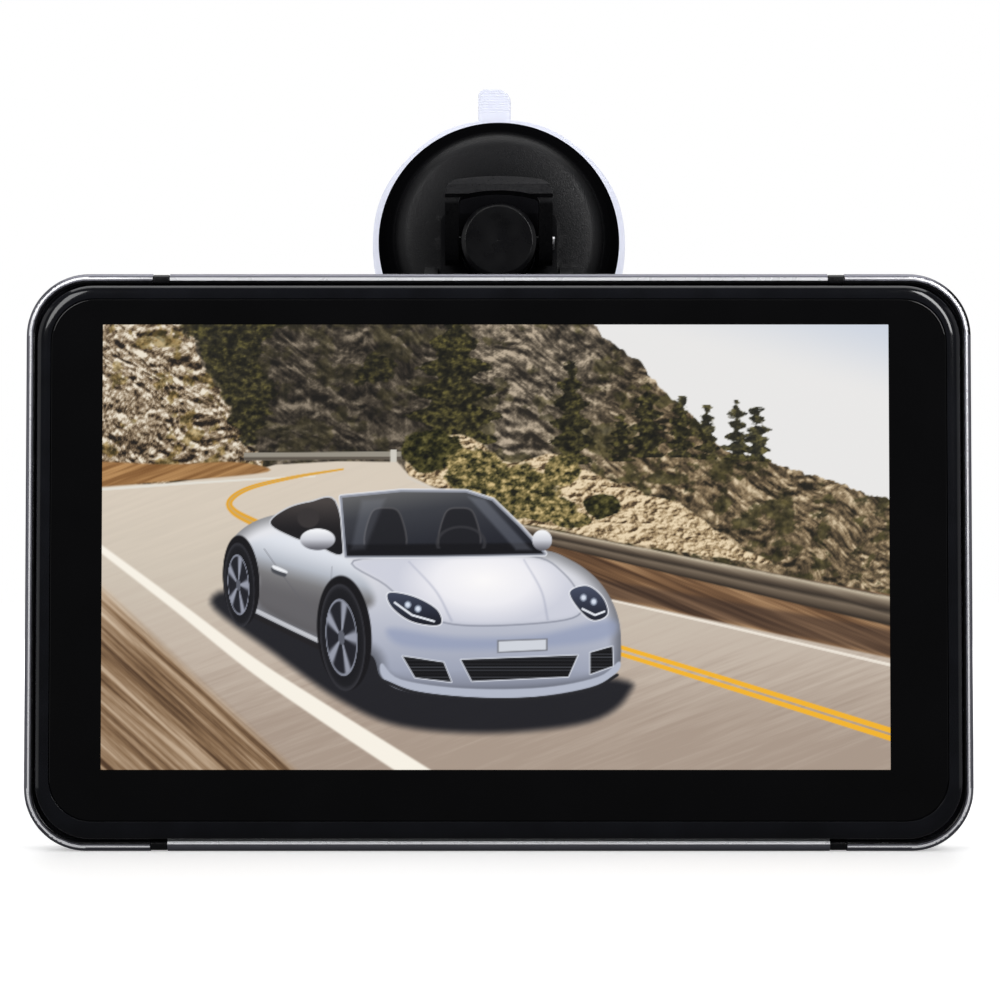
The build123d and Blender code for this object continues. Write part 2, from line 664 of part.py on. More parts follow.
def rear_cover():
    """Back shell: rounded plate with hook slots, screw holes and a speaker grille."""
    plate = slab(BODY_WIDTH - 1.2, BODY_HEIGHT - 1.2, BODY_CORNER - 0.6, BODY_BACK, BAND_BACK)
    plate = fillet(plate.faces().sort_by(Axis.Y)[-1].edges(), 1.4)
    rim = slab(BEZEL_WIDTH - 1.0, BEZEL_HEIGHT - 1.0, BEZEL_CORNER - 0.5, BAND_BACK, BAND_BACK - 0.5)
    rim -= slab(BEZEL_WIDTH - 4.0, BEZEL_HEIGHT - 4.0, BEZEL_CORNER - 2.0, BAND_BACK + 1, BAND_BACK - 1)
    for x, z in boss_places():
        plate -= disc(SCREW_RADIUS + 0.2, -60, -70, x, z)
        plate -= disc(SCREW_HEAD + 0.2, -60, BODY_BACK - 1.0, x, z)
        rim -= disc(BOSS_RADIUS + 0.3, -60, -70, x, z)
    cover = plate + rim
    for side in (-1, 1):
        for rise in (-HOOK_RISE, HOOK_RISE):
            cover -= hook_slot(side * HOOK_X, BALL_Z + rise)
    return cover - grille_holes()


def hook_slot(x, z):
    """Keyhole for one hook: a narrow run above a wide mouth."""
    narrow = HOOK_NECK / 2 + 0.3
    wide = HOOK_LIP / 2 + 0.5
    run = block((x - narrow, -72, z - RELEASE_TRAVEL), (x + narrow, -60, z + HOOK_NECK / 2 + 0.2))
    mouth_low = z - RELEASE_TRAVEL - HOOK_NECK / 2 - 0.8
    mouth_high = z - RELEASE_TRAVEL + HOOK_NECK / 2 + 0.8
    return run + block((x - wide, -72, mouth_low), (x + wide, -60, mouth_high))


def grille_holes():
    """Round field of sound slots in front of the loudspeaker."""
    slots = []
    for index in range(-3, 4):
        half = (9.0 ** 2 - (index * 2.6) ** 2) ** 0.5
        z = BODY_Z - 30 + index * 2.6
        slots.append(block((62 - half, -72, z - 0.6), (62 + half, -60, z + 0.6)))
    return slots


def cover_screws():
    """Four small screws that hold the rear cover."""
    screws = []
    for x, z in boss_places():
        head = disc(SCREW_HEAD, BODY_BACK - 0.1, BODY_BACK - 0.98, x, z)
        shank = disc(SCREW_RADIUS, BODY_BACK - 0.5, -71.6, x, z)
        screws.append(head + shank)
    return Compound(children=screws)


def build_parts():
    """Every sub-part by node name."""
    parts = {
        "suction_cup": suction_cup(), "mount_dome": mount_dome(), "pull_stud": pull_stud(),
        "lever_pin": lever_pin(), "cam_lever": cam_lever(), "hinge_bolt": hinge_bolt(),
        "hinge_nut": hinge_nut(), "hinge_washers": hinge_washers(), "arm": arm(),
        "ball_liner": ball_liner(), "lock_ring": lock_ring(), "ball_socket": ball_socket(),
        "cradle": cradle(), "cradle_screws": cradle_screws(),
        "band_top": band_top(), "band_bottom": band_bottom(), "band_left": band_left(),
        "band_right": band_right(), "aerial_window": aerial_window(),
        "bezel": bezel(), "touch_glass": touch_glass(), "display_gasket": display_gasket(),
        "lcd_panel": lcd_panel(), "backlight": backlight(), "chassis": chassis(),
        "main_board": main_board(), "battery": battery(), "speaker": speaker(),
        "satellite_aerial": satellite_aerial(), "headphone_jack": headphone_jack(),
        "av_jack": av_jack(), "usb_port": usb_port(), "card_slot": card_slot(),
        "memory_card": memory_card(), "power_button": power_button(),
        "rear_cover": rear_cover(), "cover_screws": cover_screws(),
    }
    corners = {"top_left": (-BREAK_X, 1), "top_right": (BREAK_X, 1),
               "bottom_left": (-BREAK_X, -1), "bottom_right": (BREAK_X, -1)}
    for corner, (x, side) in corners.items():
        parts[f"band_break_{corner}"] = band_break(x, side)
    return parts


def main():
    """Write one file for each sub-part."""
    os.makedirs("parts", exist_ok=True)
    for name, shape in build_parts().items():
        export_step(shape, f"parts/{name}.step")


main()
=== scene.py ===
import json
import math
import bmesh
import bpy
import numpy as np
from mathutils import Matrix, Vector


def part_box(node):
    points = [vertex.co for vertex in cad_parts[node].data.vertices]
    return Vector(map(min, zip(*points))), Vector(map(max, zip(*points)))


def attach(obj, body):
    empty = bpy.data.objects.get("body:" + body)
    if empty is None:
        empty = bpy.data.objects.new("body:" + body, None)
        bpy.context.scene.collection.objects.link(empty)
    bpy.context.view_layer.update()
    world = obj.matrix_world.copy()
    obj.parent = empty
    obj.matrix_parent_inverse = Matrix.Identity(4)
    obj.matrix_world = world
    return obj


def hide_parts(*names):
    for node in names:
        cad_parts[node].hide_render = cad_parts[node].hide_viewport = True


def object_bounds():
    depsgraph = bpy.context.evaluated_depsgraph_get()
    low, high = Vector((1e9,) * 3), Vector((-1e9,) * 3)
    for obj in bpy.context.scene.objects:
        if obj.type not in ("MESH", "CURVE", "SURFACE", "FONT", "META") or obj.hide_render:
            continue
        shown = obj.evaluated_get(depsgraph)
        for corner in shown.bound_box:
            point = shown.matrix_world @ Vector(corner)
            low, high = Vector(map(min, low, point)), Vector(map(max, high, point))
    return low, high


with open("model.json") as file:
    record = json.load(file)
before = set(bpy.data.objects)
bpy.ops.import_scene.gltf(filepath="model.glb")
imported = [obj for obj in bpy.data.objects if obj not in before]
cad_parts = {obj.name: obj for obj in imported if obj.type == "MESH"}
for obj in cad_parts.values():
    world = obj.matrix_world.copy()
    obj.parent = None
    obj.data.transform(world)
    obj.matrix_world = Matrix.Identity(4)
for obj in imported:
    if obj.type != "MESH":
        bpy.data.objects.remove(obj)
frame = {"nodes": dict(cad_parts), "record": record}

cad_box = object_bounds()

MM = 0.001

# Camera
VIEW_DISTANCE = 460.8 * MM
VIEW_DROP = 2.5 * MM
AIM_RISE = 12.0 * MM
LENS = 84.8

# Studio floor and shell
STUDIO_RADIUS = 4.0
FLOOR_GLOW = (0.42, 1.0)
FLOOR_GLOW_REACH = (300 * MM, 800 * MM)

# Metal band: its corner, and how far in from the outside each finish reaches
BAND_CORNER = 12.3 * MM
BAND_FACE_DEPTH = 0.7 * MM
EDGE_LINE = (0.72 * MM, 1.42 * MM)
EDGE_LINE_BOTTOM = (1.35 * MM, 2.1 * MM)
# how far in the black painted shade of the gap next to the frame reaches
GAP_SHADE_REACH = 2.1 * MM

# Moulded front frame round the glass
FRAME_CORNER = 10.9 * MM
FRAME_SHOULDER = 1.3 * MM
FRAME_ROLL = 0.84
FRAME_LIP_ROUND = 0.08 * MM
FRAME_LEDGE = 2.6 * MM
FRAME_LEDGE_DEPTH = 1.0 * MM
FRAME_WALL = 1.4 * MM

# Cover glass
GLASS_CORNER = 8.4 * MM
GLASS_EDGE_ROUND = 0.3 * MM
GLASS_EDGE_GAP = 0.1 * MM
GLASS_BACK_CHAMFER = 0.5 * MM
GLASS_BACK_CHAMFER_DEPTH = 0.2 * MM

# Display
ACTIVE_WIDTH = 154.1 * MM
ACTIVE_HEIGHT = 87.1 * MM
ACTIVE_SHIFT = -0.6 * MM
ACTIVE_RISE = 2.5 * MM
WINDOW_CORNER = 0.15 * MM
WINDOW_DEPTH = 0.5 * MM
PICTURE_MARGIN = 0.02 * MM
PICTURE_COLUMNS = 788
PICTURE_ROWS = 446
PICTURE_PANELS = 4
PICTURE_DEPTH = 0.05 * MM

# Mount
STUD_RADIUS = 8.2 * MM
STUD_FLANGE = 12 * MM
RING_RADIUS = 15.2 * MM
RING_MOUTH = 10.4 * MM
RING_SEAT = 12.08 * MM
RING_CHAMFER = 0.9 * MM
RING_FLUTES = 18


# ------------------------------------------------------------------ meshes

def add_piece(name, mesh, body, *nodes, slot=None, material=None):
    """Puts a mesh in the scene as a piece that rides on a body and stands for CAD nodes."""
    piece = bpy.data.objects.new(name, mesh)
    bpy.context.scene.collection.objects.link(piece)
    if body:
        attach(piece, body)
    if nodes:
        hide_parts(*nodes)
    if material:
        mesh.materials.append(material)
    return piece


def quad_mesh(name, points, quads, smooth=True):
    """Mesh from (n, 3) points and (m, 4) corner numbers, both as whole arrays."""
    mesh = bpy.data.meshes.new(name)
    mesh.vertices.add(len(points))
    mesh.vertices.foreach_set("co", np.ascontiguousarray(points, np.float32).ravel())
    mesh.loops.add(quads.size)
    mesh.loops.foreach_set("vertex_index", quads.astype(np.int32).ravel())
    mesh.polygons.add(len(quads))
    mesh.polygons.foreach_set("loop_start", np.arange(0, quads.size, 4, dtype=np.int32))
    mesh.polygons.foreach_set("use_smooth", np.full(len(quads), smooth))
    mesh.update(calc_edges=True)
    mesh.validate()
    return mesh


def grid_quads(rows, columns, loop_rows=False, loop_columns=False):
    """Corner numbers of a grid: each cell joins its point to the next ones right and down."""
    last_row = rows if loop_rows else rows - 1
    last_column = columns if loop_columns else columns - 1
    i, j = np.meshgrid(np.arange(last_row), np.arange(last_column), indexing="ij")
    below = (i + 1) % rows
    right = (j + 1) % columns
    corners = [i * columns + j, i * columns + right, below * columns + right, below * columns + j]
    return np.stack(corners, axis=-1).reshape(-1, 4)


def tidy_mesh(mesh, sharp_degrees=35.0, merge=1e-7):
    """Merges doubled points, turns every face outwards and marks the sharp edges."""
    work = bmesh.new()
    work.from_mesh(mesh)
    bmesh.ops.remove_doubles(work, verts=work.verts, dist=merge)
    bmesh.ops.recalc_face_normals(work, faces=work.faces)
    work.to_mesh(mesh)
    work.free()
    mesh.set_sharp_from_angle(angle=math.radians(sharp_degrees))
    return mesh


def arc(centre, radius, start, end, steps):
    """Points of an arc: centre plus radius times cosine and sine of an evenly turned angle."""
    turn = np.radians(np.linspace(start, end, steps))
    return np.stack([centre[0] + radius * np.cos(turn), centre[1] + radius * np.sin(turn)], axis=-1)


def round_rectangle(width, height, corner, arc_steps=14, side_steps=10):
    """Closed outline, anticlockwise: four quarter circles joined by evenly divided straights."""
    half_w, half_h = width / 2 - corner, height / 2 - corner
    centres = [(half_w, half_h), (-half_w, half_h), (-half_w, -half_h), (half_w, -half_h)]
    arcs = [arc(c, corner, 90 * k, 90 * k + 90, arc_steps) for k, c in enumerate(centres)]
    points = []
    for quarter, following in zip(arcs, arcs[1:] + arcs[:1]):
        share = np.linspace(0, 1, side_steps + 1)[1:-1, None]
        points += [quarter, quarter[-1] * (1 - share) + following[0] * share]
    return np.concatenate(points)


def loft_outlines(name, rows, closed=True, sharp_degrees=35.0):
    """Surface through a stack of outlines. Each row is (outline in x and z, x, z, depth y)."""
    layers = []
    for outline, x, z, depth in rows:
        flat = np.full(len(outline), depth)
        layers.append(np.stack([outline[:, 0] + x, flat, outline[:, 1] + z], axis=-1))
    points = np.stack(layers)
    quads = grid_quads(points.shape[0], points.shape[1], closed, True)
    return tidy_mesh(quad_mesh(name, points.reshape(-1, 3), quads), sharp_degrees)


def turned_mesh(name, profile, centre=(0.0, 0.0), segments=160, wave=None, sharp_degrees=35.0):
    """Turns a closed (radius, depth) profile about the Y axis. wave(angle, radius) gives the
    change of radius at each point."""
    angle = np.linspace(0, 2 * math.pi, segments, endpoint=False)
    radius = np.repeat(profile[:, :1], segments, axis=1)
    depth = np.repeat(profile[:, 1:], segments, axis=1)
    if wave:
        radius = radius + wave(angle[None, :], radius)
    x = centre[0] + radius * np.cos(angle)
    z = centre[1] + radius * np.sin(angle)
    points = np.stack([x, depth, z], axis=-1).reshape(-1, 3)
    quads = grid_quads(len(profile), segments, True, True)
    return tidy_mesh(quad_mesh(name, points, quads), sharp_degrees)


def rounded_profile(points, radius, steps=5):
    """Closed profile whose corners are replaced by short quadratic curves of the given reach."""
    points = np.asarray(points, float)
    before = np.roll(points, 1, axis=0) - points
    after = np.roll(points, -1, axis=0) - points
    reach_in = np.minimum(radius, np.linalg.norm(before, axis=1) * 0.45)[:, None]
    reach_out = np.minimum(radius, np.linalg.norm(after, axis=1) * 0.45)[:, None]
    start = points + before / np.linalg.norm(before, axis=1)[:, None] * reach_in
    end = points + after / np.linalg.norm(after, axis=1)[:, None] * reach_out
    t = np.linspace(0, 1, steps)[None, :, None]
    curve = start[:, None] * (1 - t) ** 2 + 2 * points[:, None] * t * (1 - t) + end[:, None] * t ** 2
    return curve.reshape(-1, 2)


def finished_copy(node, body, slot, material, bevel=0.15, sharp_degrees=32.0, segments=2):
    """Copy of a CAD node's surface with its triangles welded, flat faces joined again and
    every edge sharper than the angle given a small round."""
    mesh = frame["nodes"][node].data.copy()
    mesh.materials.clear()
    work = bmesh.new()
    work.from_mesh(mesh)
    bmesh.ops.remove_doubles(work, verts=work.verts, dist=2e-6)
    bmesh.ops.dissolve_limit(work, angle_limit=math.radians(0.6), verts=work.verts,
                             edges=work.edges, delimit={"NORMAL"})
    for face in work.faces:
        face.smooth = True
    work.to_mesh(mesh)
    work.free()
    mesh.set_sharp_from_angle(angle=math.radians(sharp_degrees))
    piece = add_piece(node + "_finish", mesh, body, node, slot=slot, material=material)
    if bevel:
        edge = piece.modifiers.new("edge_round", "BEVEL")
        edge.width = bevel * MM
        edge.segments = segments
        edge.limit_method = "ANGLE"
        edge.angle_limit = math.radians(sharp_degrees)
        edge.harden_normals = True
        edge.use_clamp_overlap = True
    return piece


# --------------------------------------------------------------- materials

class Finish:
    """A Principled material and the few node chains that the finishes share."""

    def __init__(self, name, colour, roughness=0.5, metallic=0.0):
        self.material = bpy.data.materials.new(name)
        self.material.use_nodes = True
        self.tree = self.material.node_tree
        self.shader = self.tree.nodes["Principled BSDF"]
        self.colour = colour
        self.place = self.tree.nodes.new("ShaderNodeTexCoord").outputs["Object"]
        self.shader.inputs["Base Color"].default_value = (*colour, 1)
        self.shader.inputs["Roughness"].default_value = roughness
        self.shader.inputs["Metallic"].default_value = metallic
        self.material.diffuse_color = (*colour, 1)
        self.last_bump = None

    def set(self, **sockets):
        """Sets plain numbers or colours on the shader's own sockets."""
        for socket, value in sockets.items():
            self.shader.inputs[socket.replace("_", " ")].default_value = value
        return self

    def noise(self, size, detail=3.0, stretch=None, roughness=0.55):
        """Noise whose lumps are about size metres across, stretched along an axis if given."""
        texture = self.tree.nodes.new("ShaderNodeTexNoise")
        texture.inputs["Scale"].default_value = 1.0 / size
        texture.inputs["Detail"].default_value = detail
        texture.inputs["Roughness"].default_value = roughness
        source = self.place
        if stretch:
            mapping = self.tree.nodes.new("ShaderNodeMapping")
            mapping.inputs["Scale"].default_value = stretch
            self.tree.links.new(source, mapping.inputs["Vector"])
            source = mapping.outputs["Vector"]
        self.tree.links.new(source, texture.inputs["Vector"])
        return texture.outputs["Fac"]

    def cells(self, size, feature="F1"):
        """Cell texture whose cells are about size metres across."""
        texture = self.tree.nodes.new("ShaderNodeTexVoronoi")
        texture.feature = feature
        texture.inputs["Scale"].default_value = 1.0 / size
        self.tree.links.new(self.place, texture.inputs["Vector"])
        return texture.outputs["Distance"]

    def along(self, axis):
        """Distance from the frame's origin along X, Y or Z."""
        parts = self.tree.nodes.new("ShaderNodeSeparateXYZ")
        self.tree.links.new(self.place, parts.inputs[0])
        return parts.outputs[axis]

    def away(self, axes=(1, 1, 1)):
        """Distance from the frame's origin, counting only the axes marked 1."""
        kept = self.tree.nodes.new("ShaderNodeVectorMath")
        kept.operation = "MULTIPLY"
        kept.inputs[1].default_value = axes
        self.tree.links.new(self.place, kept.inputs[0])
        length = self.tree.nodes.new("ShaderNodeVectorMath")
        length.operation = "LENGTH"
        self.tree.links.new(kept.outputs["Vector"], length.inputs[0])
        return length.outputs["Value"]

    def spread(self, value, low, high, start=0.3, end=0.7):
        """Maps a texture's value from start..end to low..high."""
        node = self.tree.nodes.new("ShaderNodeMapRange")
        node.inputs["From Min"].default_value = start
        node.inputs["From Max"].default_value = end
        node.inputs["To Min"].default_value = low
        node.inputs["To Max"].default_value = high
        self.tree.links.new(value, node.inputs["Value"])
        return node.outputs["Result"]

    def tint(self, value, dark, light, start=0.35, end=0.65):
        """Colour that runs from dark to light as the value goes from start to end."""
        ramp = self.tree.nodes.new("ShaderNodeValToRGB")
        first, last = ramp.color_ramp.elements
        first.position, first.color = start, (*dark, 1)
        last.position, last.color = end, (*light, 1)
        self.tree.links.new(value, ramp.inputs["Fac"])
        self.tree.links.new(ramp.outputs["Color"], self.shader.inputs["Base Color"])
        return self

    def vary(self, size, amount=0.12, detail=3.0):
        """Colour a little darker and lighter than the base in soft lumps."""
        dark = tuple(c * (1 - amount) for c in self.colour)
        light = tuple(min(1.0, c * (1 + amount)) for c in self.colour)
        return self.tint(self.noise(size, detail), dark, light)

    def gloss(self, size, low, high, stretch=None, detail=3.0):
        """Roughness that wanders between low and high."""
        value = self.spread(self.noise(size, detail, stretch), low, high)
        self.tree.links.new(value, self.shader.inputs["Roughness"])
        return self

    def bump(self, height, depth, strength=1.0):
        """Raises the surface by the height value times depth metres, over earlier bumps."""
        node = self.tree.nodes.new("ShaderNodeBump")
        node.inputs["Distance"].default_value = depth
        node.inputs["Strength"].default_value = strength
        self.tree.links.new(height, node.inputs["Height"])
        if self.last_bump:
            self.tree.links.new(self.last_bump, node.inputs["Normal"])
        self.last_bump = node.outputs["Normal"]
        self.tree.links.new(self.last_bump, self.shader.inputs["Normal"])
        return self


def spark_plastic():
    """Black moulding with a spark-eroded grain that glitters where the light grazes it."""
    finish = Finish("spark_black_plastic", (0.009, 0.009, 0.0105), 0.42)
    finish.vary(4 * MM, 0.2)
    finish.gloss(0.35 * MM, 0.3, 0.6, detail=2.0)
    finish.bump(finish.noise(0.32 * MM, 2.0), 0.06 * MM, 0.7)
    return finish.material


def dome_plastic():
    """Spark-eroded black of the mount's dome: charcoal on the open face; painted shade makes it nearly black
    and glossless under the lever in the middle and on the skirt outside."""
    finish = Finish("dome_black_plastic", (0.007, 0.007, 0.0085), 0.42)
    # painted shade: gloss taken away in the middle under the lever and on the skirt, where shade falls
    painted_shading_gloss = finish.tree.nodes.new("ShaderNodeValToRGB")
    stops = painted_shading_gloss.color_ramp.elements
    stops[0].position, stops[0].color = 0.36, (0.0, 0.0, 0.0, 1)
    stops[1].position, stops[1].color = 0.44, (0.2, 0.2, 0.2, 1)
    for place, value in ((0.66, 0.42), (0.75, 0.0)):
        stop = stops.new(place)
        stop.color = (value, value, value, 1)
    share = finish.spread(finish.away((1, 0, 1)), 0, 1, 0, 32 * MM)
    finish.tree.links.new(share, painted_shading_gloss.inputs["Fac"])
    finish.tree.links.new(painted_shading_gloss.outputs["Color"], finish.shader.inputs["Specular IOR Level"])
    # painted shade: the skirt outside the face is coloured nearly black
    finish.tint(share, (0.009, 0.009, 0.0105), (0.003, 0.003, 0.0035), 0.66, 0.76)
    finish.gloss(0.35 * MM, 0.28, 0.6, detail=2.0)
    finish.bump(finish.noise(0.32 * MM, 2.0), 0.07 * MM, 0.8)
    return finish.material


def lever_plastic():
    """Black of the lever with painted light and shade: the arms painted nearly black as in shade, the thumb
    bar above them a lit, grained charcoal.
    """
    finish = Finish("lever_black_plastic", (0.006, 0.006, 0.007), 0.35)
    # painted light and shade: lighter and glossier above the arms, by height alone
    high = finish.spread(finish.along("Z"), 0, 1, 5.2 * MM, 6.2 * MM)
    finish.tint(high, (0.0025, 0.0025, 0.003), (0.016, 0.016, 0.018), 0.1, 0.9)
    painted_shading_gloss = finish.spread(high, 0.1, 0.5, 0, 1)
    finish.tree.links.new(painted_shading_gloss, finish.shader.inputs["Specular IOR Level"])
    finish.gloss(0.5 * MM, 0.26, 0.5, detail=2.0)
    finish.bump(finish.noise(0.35 * MM, 2.0), 0.05 * MM, 0.7)
    return finish.material


def satin_plastic():
    """Black moulding with a finer, smoother grain, a little polished by fingers."""
    finish = Finish("satin_black_plastic", (0.004, 0.004, 0.005), 0.26)
    finish.set(Specular_IOR_Level=0.4)
    finish.vary(6 * MM, 0.2)
    finish.gloss(5 * MM, 0.22, 0.36)
    finish.bump(finish.noise(0.22 * MM, 2.0), 0.012 * MM, 0.5)
    return finish.material


def insert_plastic():
    """Plain black plastic of the inserts that part the metal strips."""
    finish = Finish("insert_black_plastic", (0.006, 0.006, 0.007), 0.22)
    finish.vary(3 * MM, 0.2)
    finish.gloss(2 * MM, 0.16, 0.3)
    finish.bump(finish.noise(0.5 * MM), 0.008 * MM, 0.4)
    return finish.material


def soft_touch():
    """Soft black coating of the rear shell and the power key."""
    finish = Finish("soft_touch_black", (0.022, 0.022, 0.025), 0.6)
    finish.set(Sheen_Weight=0.08, Sheen_Roughness=0.5)
    finish.vary(12 * MM, 0.12)
    finish.gloss(9 * MM, 0.5, 0.66)
    finish.bump(finish.noise(0.18 * MM, 2.0), 0.012 * MM, 0.6)
    return finish.material


def grey_moulding():
    """Dark grey engineering plastic of the arm's joint."""
    finish = Finish("grey_moulded_plastic", (0.045, 0.046, 0.05), 0.45)
    finish.vary(7 * MM, 0.15)
    finish.gloss(3 * MM, 0.36, 0.52)
    finish.bump(finish.noise(0.3 * MM, 2.0), 0.02 * MM, 0.5)
    return finish.material


def gloss_black():
    """Piano-black lacquered frame: deep blue-black with a clear coat and faint ripple."""
    finish = Finish("piano_black_frame", (0.006, 0.0065, 0.009), 0.3)
    finish.set(Coat_Weight=1.0, Coat_Roughness=0.07, Coat_IOR=1.5, Specular_IOR_Level=0.1)
    finish.vary(10 * MM, 0.25)
    finish.gloss(14 * MM, 0.16, 0.24)
    finish.bump(finish.noise(9 * MM, 1.0), 0.012 * MM, 0.25)
    return finish.material


def glass_black():
    """Cover glass over its black printed border."""
    finish = Finish("black_backed_glass", (0.0022, 0.0022, 0.0026), 0.05)
    finish.set(IOR=1.5)
    finish.vary(20 * MM, 0.2)
    finish.gloss(25 * MM, 0.02, 0.05)
    finish.bump(finish.noise(30 * MM, 1.0), 0.01 * MM, 0.15)
    return finish.material


def gunmetal():
    """Grey-lilac metallic paint on the band, fine flake under a satin coat."""
    finish = Finish("gunmetal_band", (0.26, 0.26, 0.3), 0.36, 0.8)
    finish.tint(finish.cells(0.12 * MM), (0.24, 0.24, 0.285), (0.285, 0.285, 0.33), 0.1, 0.7)
    finish.gloss(6 * MM, 0.32, 0.42)
    finish.bump(finish.noise(0.15 * MM, 2.0), 0.0015 * MM, 0.4)
    return finish.material


def polished_edge():
    """Polished cut edge of the band, fine tool lines along it, brightened by a weak painted glow."""
    finish = Finish("polished_band_edge_painted_glow", (0.95, 0.95, 0.97), 0.3, 0.3)
    # painted highlight: a weak glow makes the polished line brighter than the lamps alone make it
    finish.set(Emission_Color=(0.93, 0.95, 1.0, 1), Emission_Strength=0.15)
    finish.vary(3 * MM, 0.03)
    finish.gloss(2 * MM, 0.24, 0.36)
    finish.bump(finish.noise(0.6 * MM), 0.001 * MM, 0.3)
    return finish.material


def clear_cup():
    """Clear soft plastic of the suction cup, faintly lilac; a weak painted glow stands in for the light it
    scatters.
    """
    finish = Finish("clear_soft_cup", (0.6, 0.62, 0.72), 0.25)
    finish.set(Transmission_Weight=0.25, IOR=1.35)
    # painted light: the cup glows pale instead of being lit by the lamps
    finish.set(Emission_Color=(0.94, 0.95, 1.0, 1), Emission_Strength=0.34)
    finish.vary(8 * MM, 0.03)
    finish.gloss(5 * MM, 0.08, 0.18)
    finish.bump(finish.noise(4 * MM), 0.02 * MM, 0.3)
    return finish.material


def steel(name, colour=(0.62, 0.62, 0.64), low=0.16, high=0.3, line=(1, 1, 1)):
    """Turned or rolled steel with fine tool lines."""
    finish = Finish(name, colour, 0.22, 1.0)
    finish.vary(2 * MM, 0.08)
    finish.gloss(0.8 * MM, low, high, line)
    finish.bump(finish.noise(0.3 * MM, 2.0, line), 0.006 * MM, 0.5)
    return finish.material


def pin_steel():
    """Steel pin painted nearly black as shade where it shows between the stud and the lever arms; its right
    end keeps bright steel.
    """
    finish = Finish("pin_painted_shade", (0.05, 0.05, 0.055), 0.35, 1.0)
    end = finish.spread(finish.along("X"), 0, 1, 10 * MM, 13 * MM)
    # painted shade: dark along the pin, bare steel only at its right end
    finish.tint(end, (0.03, 0.03, 0.033), (0.75, 0.75, 0.77), 0.48, 0.52)
    finish.gloss(0.8 * MM, 0.2, 0.35)
    finish.bump(finish.noise(0.3 * MM, 2.0), 0.006 * MM, 0.5)
    return finish.material


def moulded(name, colour, low, high, lump=5.0, grain=0.25, relief=0.01):
    """Plain moulding: soft colour lumps, wandering gloss and a fine grain."""
    finish = Finish(name, colour, (low + high) / 2)
    finish.vary(lump * MM, 0.12)
    finish.gloss(lump * 0.7 * MM, low, high)
    finish.bump(finish.noise(grain * MM, 2.0), relief * MM, 0.5)
    return finish.material


def circuit_board():
    """Green solder mask over faint copper tracks."""
    finish = Finish("green_circuit_board", (0.012, 0.07, 0.03), 0.35)
    tracks = finish.cells(2.2 * MM, "DISTANCE_TO_EDGE")
    finish.tint(tracks, (0.02, 0.11, 0.05), (0.01, 0.055, 0.025), 0.04, 0.08)
    finish.gloss(3 * MM, 0.28, 0.42)
    finish.bump(tracks, 0.02 * MM, 0.3)
    return finish.material


def battery_foil():
    """Crinkled silver foil of the pouch cell."""
    finish = Finish("pouch_cell_foil", (0.5, 0.5, 0.52), 0.35, 0.9)
    finish.vary(6 * MM, 0.1)
    finish.gloss(4 * MM, 0.25, 0.45)
    finish.bump(finish.noise(3 * MM, 4.0), 0.08 * MM, 0.6)
    return finish.material


def lit_screen():
    """Display surface: it glows with the painted picture under a glossy coat."""
    finish = Finish("lit_display", (0.004, 0.004, 0.005), 0.3)
    finish.set(Coat_Weight=0.3, Coat_Roughness=0.02, Emission_Strength=1.0)
    paint = finish.tree.nodes.new("ShaderNodeAttribute")
    paint.attribute_name = "picture"
    finish.tree.links.new(paint.outputs["Color"], finish.shader.inputs["Emission Color"])
    return finish.material


CLEAR = clear_cup()
SPARK = spark_plastic()
SATIN = satin_plastic()
DOME = dome_plastic()
LEVER = lever_plastic()
INSERT = insert_plastic()
SOFT = soft_touch()
GREY = grey_moulding()
PIANO = gloss_black()
GLASS = glass_black()
BAND = gunmetal()
EDGE = polished_edge()
STEEL = steel("turned_steel", line=(1, 8, 1))
BLACK_STEEL = steel("blackened_steel", (0.05, 0.05, 0.055), 0.3, 0.45)
PIN = pin_steel()
NICKEL = steel("nickel_plate", (0.66, 0.62, 0.56), 0.12, 0.24)
SHEET = steel("rolled_sheet", (0.5, 0.5, 0.52), 0.28, 0.42, (1, 1, 10))
ALLOY = steel("light_alloy", (0.55, 0.56, 0.58), 0.35, 0.5)
GUIDE = moulded("white_light_guide", (0.75, 0.76, 0.78), 0.2, 0.3)
RUBBER = moulded("black_foam_rubber", (0.02, 0.02, 0.02), 0.7, 0.85, 2.0, 0.3, 0.05)
CERAMIC = moulded("fired_ceramic", (0.55, 0.5, 0.42), 0.4, 0.55, 3.0)
BOARD = circuit_board()
FOIL = battery_foil()
SCREEN = lit_screen()

SLOT_MATERIALS = {
    "clear_cup": CLEAR, "black_plastic": SPARK, "black_insert": INSERT, "soft_black": SOFT,
    "grey_plastic": GREY, "gloss_black": PIANO, "band_metal": BAND, "steel": STEEL,
    "black_steel": BLACK_STEEL, "nickel": NICKEL, "sheet_metal": SHEET, "light_guide": GUIDE,
    "light_alloy": ALLOY, "cover_glass": GLASS, "screen": SCREEN, "black_rubber": RUBBER,
    "circuit_board": BOARD, "battery_foil": FOIL, "ceramic": CERAMIC,
}


# ------------------------------------------------------- carried-over parts

def dress_cad_parts():
    """Gives every CAD node the finish of its material slot."""
    for part in frame["record"]["subparts"]:
        node = frame["nodes"][part["node"]]
        # the lever pin takes the pin finish with its painted shade
        material = PIN if part["node"] == "lever_pin" else SLOT_MATERIALS[part["material_slot"]]
        for index in range(len(node.data.materials)):
            node.data.materials[index] = material
        if not node.data.materials:
            node.data.materials.append(material)


